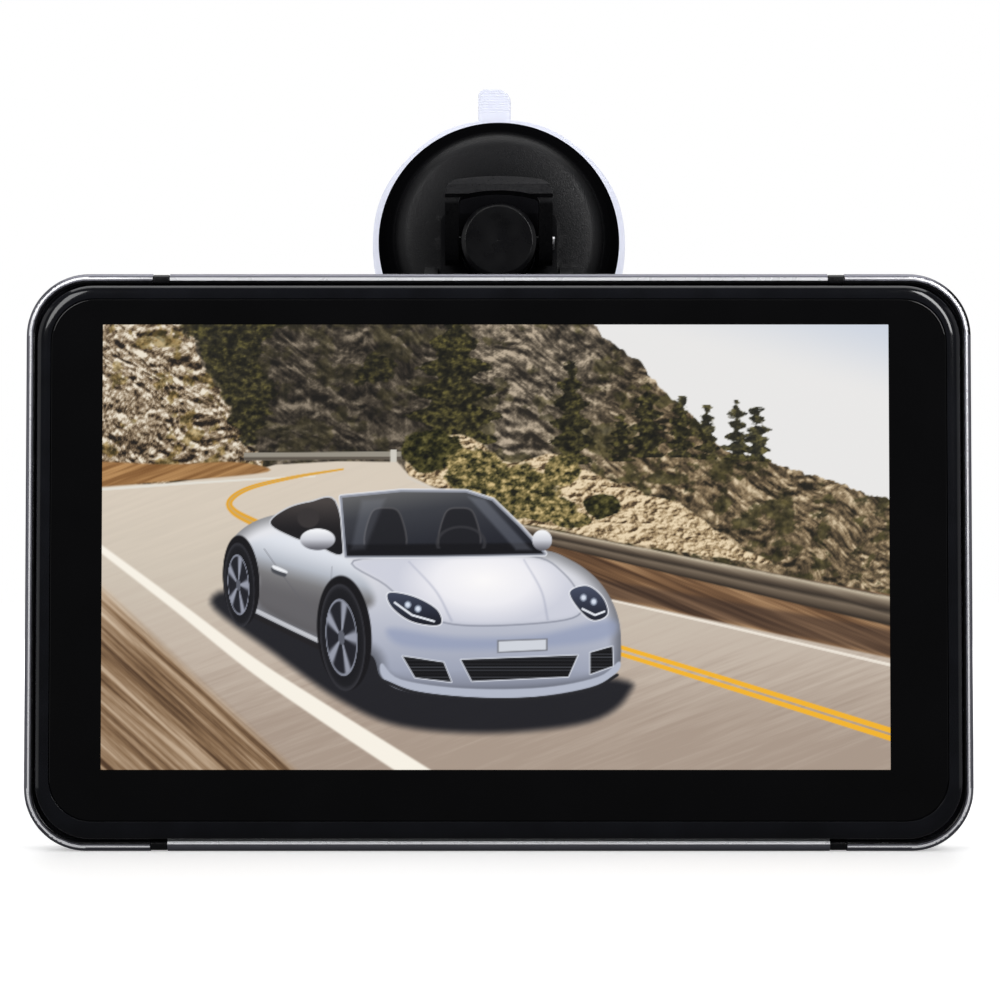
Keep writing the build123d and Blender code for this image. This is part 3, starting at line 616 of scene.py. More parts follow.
def finish_band():
    """Metal strips: painted outside, a bright polished line inside that, and on the top and the sides the
    inner round next to the frame coloured black as painted shade of the gap."""
    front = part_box("band_top")[0].y
    low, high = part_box("band_left")[0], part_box("band_right")[1]
    half = Vector(((high.x - low.x) / 2, 0, (high.z - low.z) / 2))
    centre = (low + high) / 2
    for node in ("band_top", "band_bottom", "band_left", "band_right"):
        piece = finished_copy(node, "navigator", "band_metal", BAND, bevel=0, sharp_degrees=40)
        piece.data.materials.append(EDGE)
        piece.data.materials.append(INSERT)
        start, end = EDGE_LINE_BOTTOM if node == "band_bottom" else EDGE_LINE
        for face in piece.data.polygons:
            if face.center.y > front + BAND_FACE_DEPTH:
                continue
            place = face.center - centre
            reach_x = max(abs(place.x) - (half.x - BAND_CORNER), 0)
            reach_z = max(abs(place.z) - (half.z - BAND_CORNER), 0)
            inset = BAND_CORNER - math.hypot(reach_x, reach_z)
            if start < inset < end:
                face.material_index = 1
            # painted shade: the inner round by the frame is coloured black
            elif end <= inset < GAP_SHADE_REACH:
                face.material_index = 2


# ----------------------------------------------------------- hero surfaces

def front_frame():
    """Piano-black frame as a loft of rounded rectangles: a skirt in the band, a convex shoulder
    that rolls over to the front, and a thin wall down to the glass."""
    low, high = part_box("bezel")
    width, height = high.x - low.x, high.z - low.z
    x, z = (low.x + high.x) / 2, (low.z + high.z) / 2
    front, back = low.y, high.y
    glass_low, glass_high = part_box("touch_glass")
    glass_width = glass_high.x - glass_low.x + 2 * GLASS_EDGE_GAP
    glass_height = glass_high.z - glass_low.z + 2 * GLASS_EDGE_GAP
    glass_z = (glass_low.z + glass_high.z) / 2
    opening_corner = GLASS_CORNER + GLASS_EDGE_GAP
    rows = []

    def outer(inset, depth):
        outline = round_rectangle(width - 2 * inset, height - 2 * inset, FRAME_CORNER - inset)
        rows.append((outline, x, z, depth))

    def inner(inset, depth):
        wide, tall = glass_width - 2 * inset, glass_height - 2 * inset
        rows.append((round_rectangle(wide, tall, opening_corner - inset), x, glass_z, depth))

    def between(share, depth):
        wide = round_rectangle(width, height, FRAME_CORNER)
        narrow = round_rectangle(glass_width, glass_height, opening_corner)
        rows.append((wide * (1 - share) + narrow * share, x, z * (1 - share) + glass_z * share, depth))

    outer(0, back)
    outer(0, front + FRAME_SHOULDER + 0.3 * MM)
    for turn in np.radians(np.linspace(0, 90, 18)):
        between(FRAME_ROLL * (1 - math.cos(turn)), front + FRAME_SHOULDER * (1 - math.sin(turn)))
    between(0.94, front)
    for turn in np.radians(np.linspace(15, 90, 4)):
        inner(-FRAME_LIP_ROUND * (1 - math.sin(turn)), front + FRAME_LIP_ROUND * (1 - math.cos(turn)))
    ledge = glass_high.y
    inner(0, ledge)
    inner(FRAME_LEDGE, ledge)
    inner(FRAME_LEDGE, ledge + FRAME_LEDGE_DEPTH)
    outer(FRAME_WALL, ledge + FRAME_LEDGE_DEPTH)
    outer(FRAME_WALL, back)
    mesh = loft_outlines("front_frame", rows, sharp_degrees=50)
    return add_piece("front_frame", mesh, "navigator", "bezel", slot="gloss_black", material=PIANO)


def display_window():
    """Lower left and upper right corners of the lit picture, each as x and z."""
    low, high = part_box("touch_glass")
    x = (low.x + high.x) / 2 + ACTIVE_SHIFT
    z = (low.z + high.z) / 2 + ACTIVE_RISE
    return (x - ACTIVE_WIDTH / 2, z - ACTIVE_HEIGHT / 2), (x + ACTIVE_WIDTH / 2, z + ACTIVE_HEIGHT / 2)


def cover_glass():
    """Glass plate with rounded polished edges and its lit window left open: a loft from the
    back outline round the edge to the front and in to the window's rectangle."""
    low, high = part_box("touch_glass")
    width, height = high.x - low.x, high.z - low.z
    x, z = (low.x + high.x) / 2, (low.z + high.z) / 2
    (left, bottom), (right, top) = display_window()
    window = round_rectangle(right - left, top - bottom, WINDOW_CORNER)
    rows = []

    def edge(inset, depth):
        outline = round_rectangle(width - 2 * inset, height - 2 * inset, GLASS_CORNER - inset)
        rows.append((outline, x, z, depth))

    def opening(depth):
        rows.append((window, (left + right) / 2, (top + bottom) / 2, depth))

    opening(high.y)
    edge(GLASS_BACK_CHAMFER, high.y)
    edge(0, high.y - GLASS_BACK_CHAMFER_DEPTH)
    for turn in np.radians(np.linspace(0, 90, 7)):
        edge(GLASS_EDGE_ROUND * (1 - math.cos(turn)), low.y + GLASS_EDGE_ROUND * (1 - math.sin(turn)))
    opening(low.y)
    opening(low.y + WINDOW_DEPTH)
    mesh = loft_outlines("cover_glass", rows, sharp_degrees=40)
    return add_piece("cover_glass", mesh, "navigator", "touch_glass", slot="cover_glass", material=GLASS)


def picture_panels(picture):
    """Lit display as upright strips of a fine flat grid that holds the picture's colours on its
    points; each strip is closed behind by a shallow box."""
    (left, bottom), (right, top) = display_window()
    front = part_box("touch_glass")[0].y + PICTURE_DEPTH
    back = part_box("lcd_panel")[1].y
    rows, columns = picture.shape[:2]
    ends = np.linspace(0, columns - 1, PICTURE_PANELS + 1).astype(int)
    x_all = np.linspace(left + PICTURE_MARGIN, right - PICTURE_MARGIN, columns)
    z_all = np.linspace(top - PICTURE_MARGIN, bottom + PICTURE_MARGIN, rows)
    for number, (first, last) in enumerate(zip(ends, ends[1:])):
        x, z = np.meshgrid(x_all[first:last + 1], z_all)
        face = np.stack([x, np.full_like(x, front), z], axis=-1)
        count = face.shape[0] * face.shape[1]
        rim = rim_of_grid(face.shape[0], face.shape[1])
        behind = face.reshape(-1, 3)[rim].copy()
        behind[:, 1] = back
        points = np.concatenate([face.reshape(-1, 3), behind])
        ahead = np.arange(count, count + len(rim))
        walls = np.stack([rim, np.roll(rim, -1), np.roll(ahead, -1), ahead], axis=-1)
        quads = grid_quads(face.shape[0], face.shape[1])[:, ::-1]
        mesh = quad_mesh(f"display_strip_{number}", points, np.concatenate([quads, walls]), False)
        close_back(mesh, ahead)
        paint = mesh.color_attributes.new("picture", "FLOAT_COLOR", "POINT")
        colours = np.ones((len(points), 4), np.float32)
        colours[:count, :3] = picture[:, first:last + 1].reshape(-1, 3)
        colours[count:, :3] = 0
        paint.data.foreach_set("color", colours.ravel())
        nodes = ("lcd_panel",) if number == 0 else ()
        add_piece(f"display_strip_{number}", mesh, "navigator", *nodes, slot="screen", material=SCREEN)


def rim_of_grid(rows, columns):
    """Point numbers round the edge of a grid, once round."""
    numbers = np.arange(rows * columns).reshape(rows, columns)
    sides = [numbers[0, :-1], numbers[:-1, -1], numbers[-1, :0:-1], numbers[:0:-1, 0]]
    return np.concatenate(sides)


def close_back(mesh, ring):
    """Adds one face over a ring of points and turns every face outwards."""
    work = bmesh.new()
    work.from_mesh(mesh)
    work.verts.ensure_lookup_table()
    work.faces.new([work.verts[i] for i in ring])
    bmesh.ops.recalc_face_normals(work, faces=work.faces)
    work.to_mesh(mesh)
    work.free()


def suction_disc():
    """Cup turned about its axis: flat contact ring, domed hollow, rounded lip, with a faint
    wave of eight lobes in the lip where the clear plastic relaxes."""
    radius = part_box("suction_cup")[1].x - 0.3 * MM
    profile = rounded_profile([
        (0.4 * MM, -1.4 * MM), (14 * MM, -1.05 * MM), (25 * MM, 0.0), (radius, 0.0),
        (radius, -1.7 * MM), (27 * MM, -2.4 * MM), (12 * MM, -3.2 * MM), (0.4 * MM, -3.2 * MM),
    ], 0.5 * MM, 6)

    def lobes(angle, r):
        return -0.12 * MM * (1 + np.cos(8 * angle)) * np.clip((r - 26 * MM) / (3 * MM), 0, 1)

    mesh = turned_mesh("suction_disc", profile, segments=192, wave=lobes, sharp_degrees=60)
    return add_piece("suction_disc", mesh, "suction_mount", "suction_cup",
                     slot="clear_cup", material=CLEAR)


def pull_tab():
    """Pull tab: a rounded tongue whose thickness swells in fine ribs across it and whose right
    shoulder is rounder than its left."""
    top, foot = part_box("suction_cup")[1].z, 27.0 * MM
    half, centre = 3.75 * MM, -1.0 * MM
    z = foot + np.linspace(0, 1, 150) * (top - foot)
    rib_pitch, rib_height = 0.62 * MM, 0.11 * MM

    def shoulder(width, height):
        share = np.clip((z - (top - height)) / height, 0, 1)
        return width * (1 - np.sqrt(1 - 0.998 * share ** 2))

    def squarish(value, power):
        return np.sign(value) * np.abs(value) ** power

    left = centre - half + shoulder(1.3 * MM, 1.6 * MM)
    right = centre + half - shoulder(2.9 * MM, 3.2 * MM)
    turn = np.linspace(0, 2 * math.pi, 48, endpoint=False)
    oval_x = squarish(np.cos(turn), 0.35)
    oval_y = squarish(np.sin(turn), 0.8)
    ribs = rib_height * np.sin(z / rib_pitch * 2 * math.pi) * np.clip((z - 30 * MM) / (1 * MM), 0, 1)
    near_top = np.clip((z - (top - 0.9 * MM)) / (0.9 * MM), 0, 1)
    thick = (0.78 * MM + ribs) * np.sqrt(1 - 0.9 * near_top ** 2)
    x = (left + right)[:, None] / 2 + (right - left)[:, None] / 2 * oval_x[None, :]
    y = -1.2 * MM + thick[:, None] * oval_y[None, :]
    points = np.stack([x, y, np.repeat(z[:, None], len(turn), axis=1)], axis=-1)
    mesh = quad_mesh("pull_tab", points.reshape(-1, 3), grid_quads(len(z), len(turn), False, True))
    cap_ends(mesh)
    return add_piece("pull_tab", mesh, "suction_mount", slot="clear_cup", material=CLEAR)


def cap_ends(mesh):
    """Closes the open rings of a tube and turns every face outwards."""
    work = bmesh.new()
    work.from_mesh(mesh)
    open_edges = [edge for edge in work.edges if edge.is_boundary]
    bmesh.ops.holes_fill(work, edges=open_edges, sides=0)
    bmesh.ops.recalc_face_normals(work, faces=work.faces)
    work.to_mesh(mesh)
    work.free()


def stud_surface():
    """Pull stud turned about Y: flange, barrel, a wide chamfer between two fine rounds and a
    face that dishes in very slightly."""
    low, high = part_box("pull_stud")
    centre = (low + high) / 2
    front, back = low.y, high.y
    flange_front = back - 1.6 * MM
    profile = rounded_profile([
        (0.05 * MM, front + 0.12 * MM), (5.0 * MM, front + 0.05 * MM),
        (STUD_RADIUS - 0.85 * MM, front), (STUD_RADIUS, front + 0.8 * MM),
        (STUD_RADIUS, flange_front), (STUD_FLANGE, flange_front), (STUD_FLANGE, back), (0.05 * MM, back),
    ], 0.16 * MM, 5)
    mesh = turned_mesh("stud_surface", profile, (centre.x, centre.z), 144, sharp_degrees=50)
    return add_piece("stud_surface", mesh, "stud", "pull_stud", slot="black_plastic", material=SATIN)


def ring_surface():
    """Lock ring turned about the ball's axis, its outside fluted: the radius drops by a rounded
    cosine at each of eighteen places and fades out at both chamfers."""
    low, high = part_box("lock_ring")
    centre_z = (low.z + high.z) / 2
    front, back = low.y, high.y
    shoulder = RING_RADIUS - RING_CHAMFER
    profile = rounded_profile([
        (RING_MOUTH, front), (shoulder, front), (RING_RADIUS, front + RING_CHAMFER),
        (RING_RADIUS, (front + back) / 2), (RING_RADIUS, back - RING_CHAMFER), (shoulder, back),
        (RING_MOUTH, back), (RING_MOUTH, back - 1.4 * MM), (RING_SEAT, back - 1.4 * MM),
        (RING_SEAT, front + 2.2 * MM), (RING_MOUTH, front + 1.2 * MM),
    ], 0.3 * MM, 5)

    def flutes(angle, r):
        valley = np.clip(np.cos(RING_FLUTES * angle), 0, 1) ** 1.5
        outside = np.clip((r - 13.4 * MM) / (0.9 * MM), 0, 1)
        return -0.62 * MM * valley * outside

    mesh = turned_mesh("ring_surface", profile, (0, centre_z), 288, flutes, 45)
    return add_piece("ring_surface", mesh, "ring", "lock_ring", slot="grey_plastic", material=GREY)


def edge_finishes():
    """CAD shapes that keep their form and get rounded edges in Blender."""
    finished_copy("mount_dome", "suction_mount", "black_plastic", DOME, 0.25)
    finished_copy("cam_lever", "lever", "black_plastic", LEVER, 0.3)
    finished_copy("arm", "arm_body", "black_plastic", SPARK, 0.3)
    finished_copy("ball_socket", "cradle_body", "grey_plastic", GREY, 0.2)
    finished_copy("cradle", "cradle_body", "black_plastic", SPARK, 0.25)
    finished_copy("rear_cover", "navigator", "soft_black", SOFT, 0.12)
    finished_copy("hinge_nut", "suction_mount", "steel", STEEL, 0.25)
    finished_copy("hinge_bolt", "suction_mount", "steel", STEEL, 0.2)
    finished_copy("cradle_screws", "cradle_body", "steel", STEEL, 0.2)
    finished_copy("cover_screws", "navigator", "black_steel", BLACK_STEEL, 0.15)
    for corner in ("top_left", "top_right", "bottom_left", "bottom_right"):
        finished_copy("band_break_" + corner, "navigator", "black_insert", INSERT, 0.25)
    finished_copy("power_button", "power_key", "soft_black", SOFT, 0.15)


# ------------------------------------------------------------------ studio

def studio_floor():
    """Round pale floor just under the body's lowest edge: rings that widen outwards."""
    rings, spokes = 60, 96
    level = cad_box[0].z - 0.05 * MM
    radius = STUDIO_RADIUS * np.linspace(0.002, 1, rings) ** 1.5
    angle = np.linspace(0, 2 * math.pi, spokes, endpoint=False)
    x = radius[:, None] * np.cos(angle)
    y = radius[:, None] * np.sin(angle)
    points = np.stack([x, y, np.full_like(x, level)], axis=-1).reshape(-1, 3)
    mesh = quad_mesh("studio_floor", points, grid_quads(rings, spokes, False, True)[:, ::-1])
    finish = Finish("pale_floor", (0.86, 0.86, 0.86), 0.6)
    finish.vary(300 * MM, 0.01)
    finish.set(Emission_Color=(1, 1, 1, 1))
    glow = finish.spread(finish.away(), *FLOOR_GLOW, *FLOOR_GLOW_REACH)
    finish.tree.links.new(glow, finish.shader.inputs["Emission Strength"])
    floor = add_piece("studio_floor", mesh, None, material=finish.material)
    floor.visible_diffuse = False
    floor.visible_glossy = False


def studio_backdrop():
    """White shell round the whole studio, seen by the camera and through clear plastic but not
    in reflections."""
    rings, spokes = 32, 64
    across = np.linspace(0, 2 * math.pi, spokes, endpoint=False)
    up = np.linspace(-0.5 * math.pi + 0.01, 0.5 * math.pi - 0.01, rings)
    radius = STUDIO_RADIUS * 1.02
    x = radius * np.cos(up)[:, None] * np.cos(across)
    y = radius * np.cos(up)[:, None] * np.sin(across)
    z = radius * np.sin(up)[:, None] * np.ones(spokes)
    points = np.stack([x, y, z], axis=-1).reshape(-1, 3)
    mesh = quad_mesh("studio_backdrop", points, grid_quads(rings, spokes, False, True)[:, ::-1])
    finish = Finish("white_backdrop", (0, 0, 0), 1.0)
    finish.set(Emission_Color=(1, 1, 1, 1), Emission_Strength=1.0, Specular_IOR_Level=0.0)
    shell = add_piece("studio_backdrop", mesh, None, material=finish.material)
    shell.visible_diffuse = False
    shell.visible_glossy = False
    shell.visible_shadow = False


def softbox(name, place, aim, size, power, colour=(1, 1, 1)):
    """Rectangular area light that faces a point."""
    light = bpy.data.lights.new(name, "AREA")
    light.shape = "RECTANGLE"
    light.size, light.size_y = size
    light.energy = power
    light.color = colour
    lamp = bpy.data.objects.new(name, light)
    bpy.context.scene.collection.objects.link(lamp)
    lamp.location = place
    lamp.rotation_euler = (Vector(aim) - Vector(place)).to_track_quat("-Z", "Y").to_euler()
    return lamp


def radiant(size, brightness):
    """Power of a softbox of this size that looks as bright as the given radiance."""
    return brightness * size[0] * size[1] * math.pi


def lights():
    """Overhead softbox, panels left and right, two low panels in front on either side, a card
    lying on the floor in front, a front box above the camera, two strips for the frame's corners
    and a low box behind. Those that would whiten the glass are kept out of reflections."""
    centre = (cad_box[0] + cad_box[1]) / 2
    card_height = cad_box[0].z + 1 * MM
    rig = [
        ("overhead", (0, 0.02, 1.1), centre, (1.5, 1.0), 1.6),
        ("left_panel", (-1.0, -0.25, 0.15), centre, (0.7, 0.9), 0.4),
        ("right_panel", (1.0, -0.25, 0.15), centre, (0.7, 0.9), 0.25),
        ("front_left", (-0.45, -0.5, -0.05), centre, (0.4, 0.5), 0.8),
        ("front_right", (0.45, -0.5, -0.05), centre, (0.4, 0.5), 0.5),
        ("floor_card", (0, -0.36, card_height), (0, -0.359, 1), (0.7, 0.28), 0.9),
        ("front_high", (0, -1.2, 1.0), centre, (0.9, 0.5), 1.2),
        ("right_strip", (0.31, -0.52, 0.22), centre, (0.1, 0.36), 9.0),
        ("left_strip", (-0.31, -0.52, 0.22), centre, (0.16, 0.3), 4.0),
        ("rear_box", (0.0, 1.2, 0.5), centre, (1.4, 0.9), 1.6),
    ]
    unreflected = ("front_left", "front_right", "front_high", "floor_card")
    for name, place, aim, size, brightness in rig:
        lamp = softbox(name, place, aim, size, radiant(size, brightness))
        lamp.visible_glossy = name not in unreflected
    world = bpy.data.worlds.new("dim_studio")
    world.use_nodes = True
    world.node_tree.nodes["Background"].inputs["Color"].default_value = (0.06, 0.06, 0.062, 1)
    bpy.context.scene.world = world


def camera():
    """Camera a little below the screen's middle, tilted slightly up to take in the mount."""
    low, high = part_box("bezel")
    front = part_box("touch_glass")[0].y
    middle = Vector(((low.x + high.x) / 2 + 0.25 * MM, front, (low.z + high.z) / 2))
    lens = bpy.data.cameras.new("camera")
    lens.lens = LENS
    lens.clip_start = 0.01
    eye = bpy.data.objects.new("camera", lens)
    bpy.context.scene.collection.objects.link(eye)
    eye.location = middle + Vector((0, -VIEW_DISTANCE, -VIEW_DROP))
    aim = middle + Vector((0, 0, AIM_RISE))
    eye.rotation_mode = "QUATERNION"
    eye.rotation_quaternion = (aim - eye.location).to_track_quat("-Z", "Y")
    bpy.context.scene.camera = eye
    bpy.context.scene.view_settings.view_transform = "Standard"


# ----------------------------------------------------- picture on the display

def lattice(column, row, seed):
    """Fixed pseudo-random number from 0 to 1 for each whole-numbered place."""
    mixed = (column * 374761393 + row * 668265263 + seed * 974634777) & 0xFFFFFFFF
    mixed = ((mixed ^ (mixed >> 13)) * 1274126177) & 0xFFFFFFFF
    return ((mixed ^ (mixed >> 16)) & 0xFFFF) / 65535.0


def value_noise(x, y, seed):
    """Smooth noise: the four lattice numbers round a place, blended by smoothed distances."""
    column, row = np.floor(x).astype(np.int64), np.floor(y).astype(np.int64)
    across, down = x - column, y - row
    across = across * across * (3 - 2 * across)
    down = down * down * (3 - 2 * down)
    upper = lattice(column, row, seed) * (1 - across) + lattice(column + 1, row, seed) * across
    lower = lattice(column, row + 1, seed) * (1 - across) + lattice(column + 1, row + 1, seed) * across
    return upper * (1 - down) + lower * down


def fractal(x, y, octaves=5, seed=1, ridged=False):
    """Sum of noises, each twice as fine and about half as strong; ridged folds each one."""
    total, weight, strength = 0.0, 0.0, 1.0
    for octave in range(octaves):
        turn = 0.6 * octave
        u = (x * math.cos(turn) + y * math.sin(turn)) * 2 ** octave
        v = (y * math.cos(turn) - x * math.sin(turn)) * 2 ** octave
        layer = value_noise(u, v, seed + octave)
        total = total + strength * (1 - np.abs(2 * layer - 1) if ridged else layer)
        weight += strength
        strength *= 0.58
    return total / weight


def relief(x, y, seed, octaves=6):
    """Rough stone lit from the upper left: how much the height falls from each place to the
    one just below and right of it."""
    return (fractal(x, y, octaves, seed, True) - fractal(x + 0.13, y + 0.16, octaves, seed, True)) * 2.6


def ramp(value, *stops):
    """Colour for each value from stops of (value, red, green, blue)."""
    places = [stop[0] for stop in stops]
    return np.stack([np.interp(value, places, [stop[k] for stop in stops]) for k in (1, 2, 3)], axis=-1)


def through(a, b, c, d, share):
    """Smooth curve from each b to its c, with a before and d after, at shares of the way."""
    line = (2 * b + (c - a) * share + (2 * a - 5 * b + 4 * c - d) * share ** 2
            + (3 * b - a - 3 * c + d) * share ** 3)
    return (0.5 * line).transpose(1, 0, 2).reshape(-1, 2)


def step(value, start, end):
    """0 below start, 1 above end and a smooth rise between."""
    t = np.clip((value - start) / (end - start), 0, 1)
    return t * t * (3 - 2 * t)


class Canvas:
    """Picture under work. Places are in hundredths of its width across and its height down."""

    def __init__(self, columns, rows):
        self.across, self.down = np.meshgrid(np.linspace(0, 100, columns), np.linspace(0, 100, rows))
        self.shape = ACTIVE_WIDTH / ACTIVE_HEIGHT
        self.x = self.across * self.shape
        self.y = self.down
        self.image = np.zeros((rows, columns, 3))

    def paint(self, mask, colour):
        """Lays a colour, or a colour for each place, over the picture where the mask is 1."""
        mask = mask[..., None]
        self.image = self.image * (1 - mask) + np.asarray(colour, float) * mask

    def outline(self, points, curved):
        """Closed outline in even units; curved carries it smoothly through its points."""
        points = np.asarray(points, float) * (self.shape, 1)
        if not curved:
            return points
        a, b = np.roll(points, 1, axis=0), points
        c, d = np.roll(points, -1, axis=0), np.roll(points, -2, axis=0)
        return through(a, b, c, d, np.linspace(0, 1, 7)[:-1, None, None])

    def depth(self, points, curved=False, reach=8.0):
        """How far each place lies inside an outline, negative outside and cut off at reach."""
        outline = self.outline(points, curved)
        low, high = outline.min(axis=0) - reach, outline.max(axis=0) + reach
        rows = np.flatnonzero((self.y[:, 0] >= low[1]) & (self.y[:, 0] <= high[1]))
        columns = np.flatnonzero((self.x[0] >= low[0]) & (self.x[0] <= high[0]))
        result = np.full(self.x.shape, -float(reach))
        if not len(rows) or not len(columns):
            return result
        window = np.ix_(rows, columns)
        x, y = self.x[window], self.y[window]
        nearest = np.full(x.shape, np.inf)
        crossings = np.zeros(x.shape, bool)
        for (x0, y0), (x1, y1) in zip(outline, np.roll(outline, -1, axis=0)):
            span_x, span_y = x1 - x0, y1 - y0
            length = max(span_x ** 2 + span_y ** 2, 1e-12)
            t = np.clip(((x - x0) * span_x + (y - y0) * span_y) / length, 0, 1)
            nearest = np.minimum(nearest, (x - x0 - t * span_x) ** 2 + (y - y0 - t * span_y) ** 2)
            if span_y:
                meets = (y0 > y) != (y1 > y)
                crossings ^= meets & (x < x0 + (y - y0) * span_x / span_y)
        nearest = np.sqrt(nearest)
        result[window] = np.clip(np.where(crossings, nearest, -nearest), -reach, reach)
        return result

    def fill(self, points, colour, curved=False, soft=0.12, share=1.0):
        """Fills an outline with a colour and softens its edge."""
        self.paint(share * step(self.depth(points, curved, 2.0), -soft, soft), colour)

    def oval(self, across, down, half_across, half_down, lean=0.0):
        """How far inside an upright oval each place lies, as a share of its size."""
        u = (self.across - across - lean * (self.down - down)) / half_across
        v = (self.down - down) / half_down
        return 1 - np.hypot(u, v)

    def stripe(self, points, half_widths, colour, share=1.0, soft=0.12):
        """Line through points whose half width changes evenly between the given widths."""
        line = np.asarray(points, float) * (self.shape, 1)
        widths = np.linspace(half_widths[0], half_widths[-1], len(line))
        mask = np.zeros(self.x.shape)
        for (x0, y0), (x1, y1), w0, w1 in zip(line, line[1:], widths, widths[1:]):
            span_x, span_y = x1 - x0, y1 - y0
            along = (self.x - x0) * span_x + (self.y - y0) * span_y
            t = np.clip(along / (span_x ** 2 + span_y ** 2), 0, 1)
            away = np.hypot(self.x - x0 - t * span_x, self.y - y0 - t * span_y)
            mask = np.maximum(mask, step(w0 + (w1 - w0) * t - away, -soft, soft))
        self.paint(mask * share, colour)


def curve(*points, steps=10):
    """Smooth open line through the given points."""
    points = np.asarray(points, float)
    padded = np.concatenate([points[:1] * 2 - points[1:2], points, points[-1:] * 2 - points[-2:-1]])
    t = np.linspace(0, 1, steps, endpoint=False)[:, None, None]
    a, b, c, d = padded[:-3], padded[1:-2], padded[2:-1], padded[3:]
    return np.concatenate([through(a, b, c, d, t), points[-1:]])


def paint_hills(art):
    """Sky, the far slope under its ridge and the pale cliff on the left."""
    sky = step(art.down * 1.2 + (100 - art.across) * 0.6, -6, 22)
    art.image[:] = ramp(sky, (0, 200, 208, 222), (1, 233, 232, 231))
    slant_x, slant_y = art.x * 0.8 + art.y * 0.6, art.y * 0.8 - art.x * 0.6
    wobble = 7 * fractal(art.x / 16, art.y / 16, 3, 11)
    crags = fractal((slant_x + wobble) / 9, (slant_y + wobble) / 4.2, 6, 21, True)
    scree = fractal(art.x / 1.6, art.y / 1.6, 4, 31)
    scrub = fractal(art.x / 4.5, art.y / 3.4, 5, 41)
    folds = relief((slant_x + wobble) / 7, (slant_y + wobble) / 3.4, 25)
    light = np.clip(0.38 + (crags - 0.5) * 0.5 + (scree - 0.5) * 0.6 + 0.75 * folds, 0, 1)
    middle = np.exp(-((art.across - 54) / 9) ** 2) * 0.16
    light = np.clip(light + middle, 0, 1)
    rock = ramp(light, (0, 22, 20, 16), (0.3, 52, 46, 38), (0.6, 98, 88, 74), (1, 186, 170, 148))
    sunny = ramp(light, (0, 34, 30, 20), (0.3, 84, 70, 50), (0.6, 146, 124, 92), (1, 226, 206, 172))
    share = step(art.across + 0.45 * art.down, 62, 86)[..., None] * 0.85
    slope = rock * (1 - share) + sunny * share
    green = step(scrub, 0.5, 0.62)[..., None] * (0.55 + 0.3 * share)
    leaves = ramp(scree, (0.2, 24, 24, 12), (0.8, 92, 84, 46))
    slope = slope * (1 - green) + leaves * green
    ridge = [(-5, -5), (61, -5), (63.5, 2), (68, 8), (71, 14), (75, 20), (79, 28.5), (84, 30.5),
             (88, 33), (93, 35), (97, 38.5), (105, 41), (105, 70), (-5, 70)]
    edge = art.depth(ridge) + 1.8 * (fractal(art.x / 2.2, art.y / 2.2, 3, 51) - 0.5)
    art.paint(step(edge, -0.1, 0.25), slope)

    shade = art.depth([(21, -5), (42, -5), (47, 24), (40, 31), (21, 32), (17, 12)], True, 9)
    art.paint(0.3 * step(shade, -6, 5), (30, 26, 20))
    stones = fractal((slant_x + wobble) / 3.2, (slant_y - wobble) / 2.4, 6, 61, True)
    chips = fractal(art.x / 0.9, art.y / 0.9, 3, 71)
    faces = relief((slant_x + wobble) / 4.2, (slant_y - wobble) / 3.0, 65)
    bright = 0.46 + (stones - 0.5) * 0.7 + (chips - 0.5) * 0.7 + faces
    bright = np.clip(bright - 0.14 * step(art.down, 14, 28), 0, 1)
    cliff = ramp(bright, (0, 30, 24, 18), (0.25, 82, 66, 48), (0.55, 150, 130, 104), (1, 236, 226, 208))
    tufts = step(fractal(art.x / 4, art.y / 4, 4, 81), 0.6, 0.68)[..., None] * 0.6
    cliff = cliff * (1 - tufts) + ramp(chips, (0.2, 62, 56, 20), (0.8, 176, 142, 74)) * tufts
    face = art.depth([(-5, -5), (9.5, -5), (11.5, 4), (13, 11), (16, 17), (18.5, 26), (20, 32), (14, 33),
                      (-5, 36)], True)
    edge = face + 3.0 * (fractal(art.x / 3, art.y / 3, 3, 91) - 0.5)
    art.paint(step(edge, -0.2, 0.4), cliff)


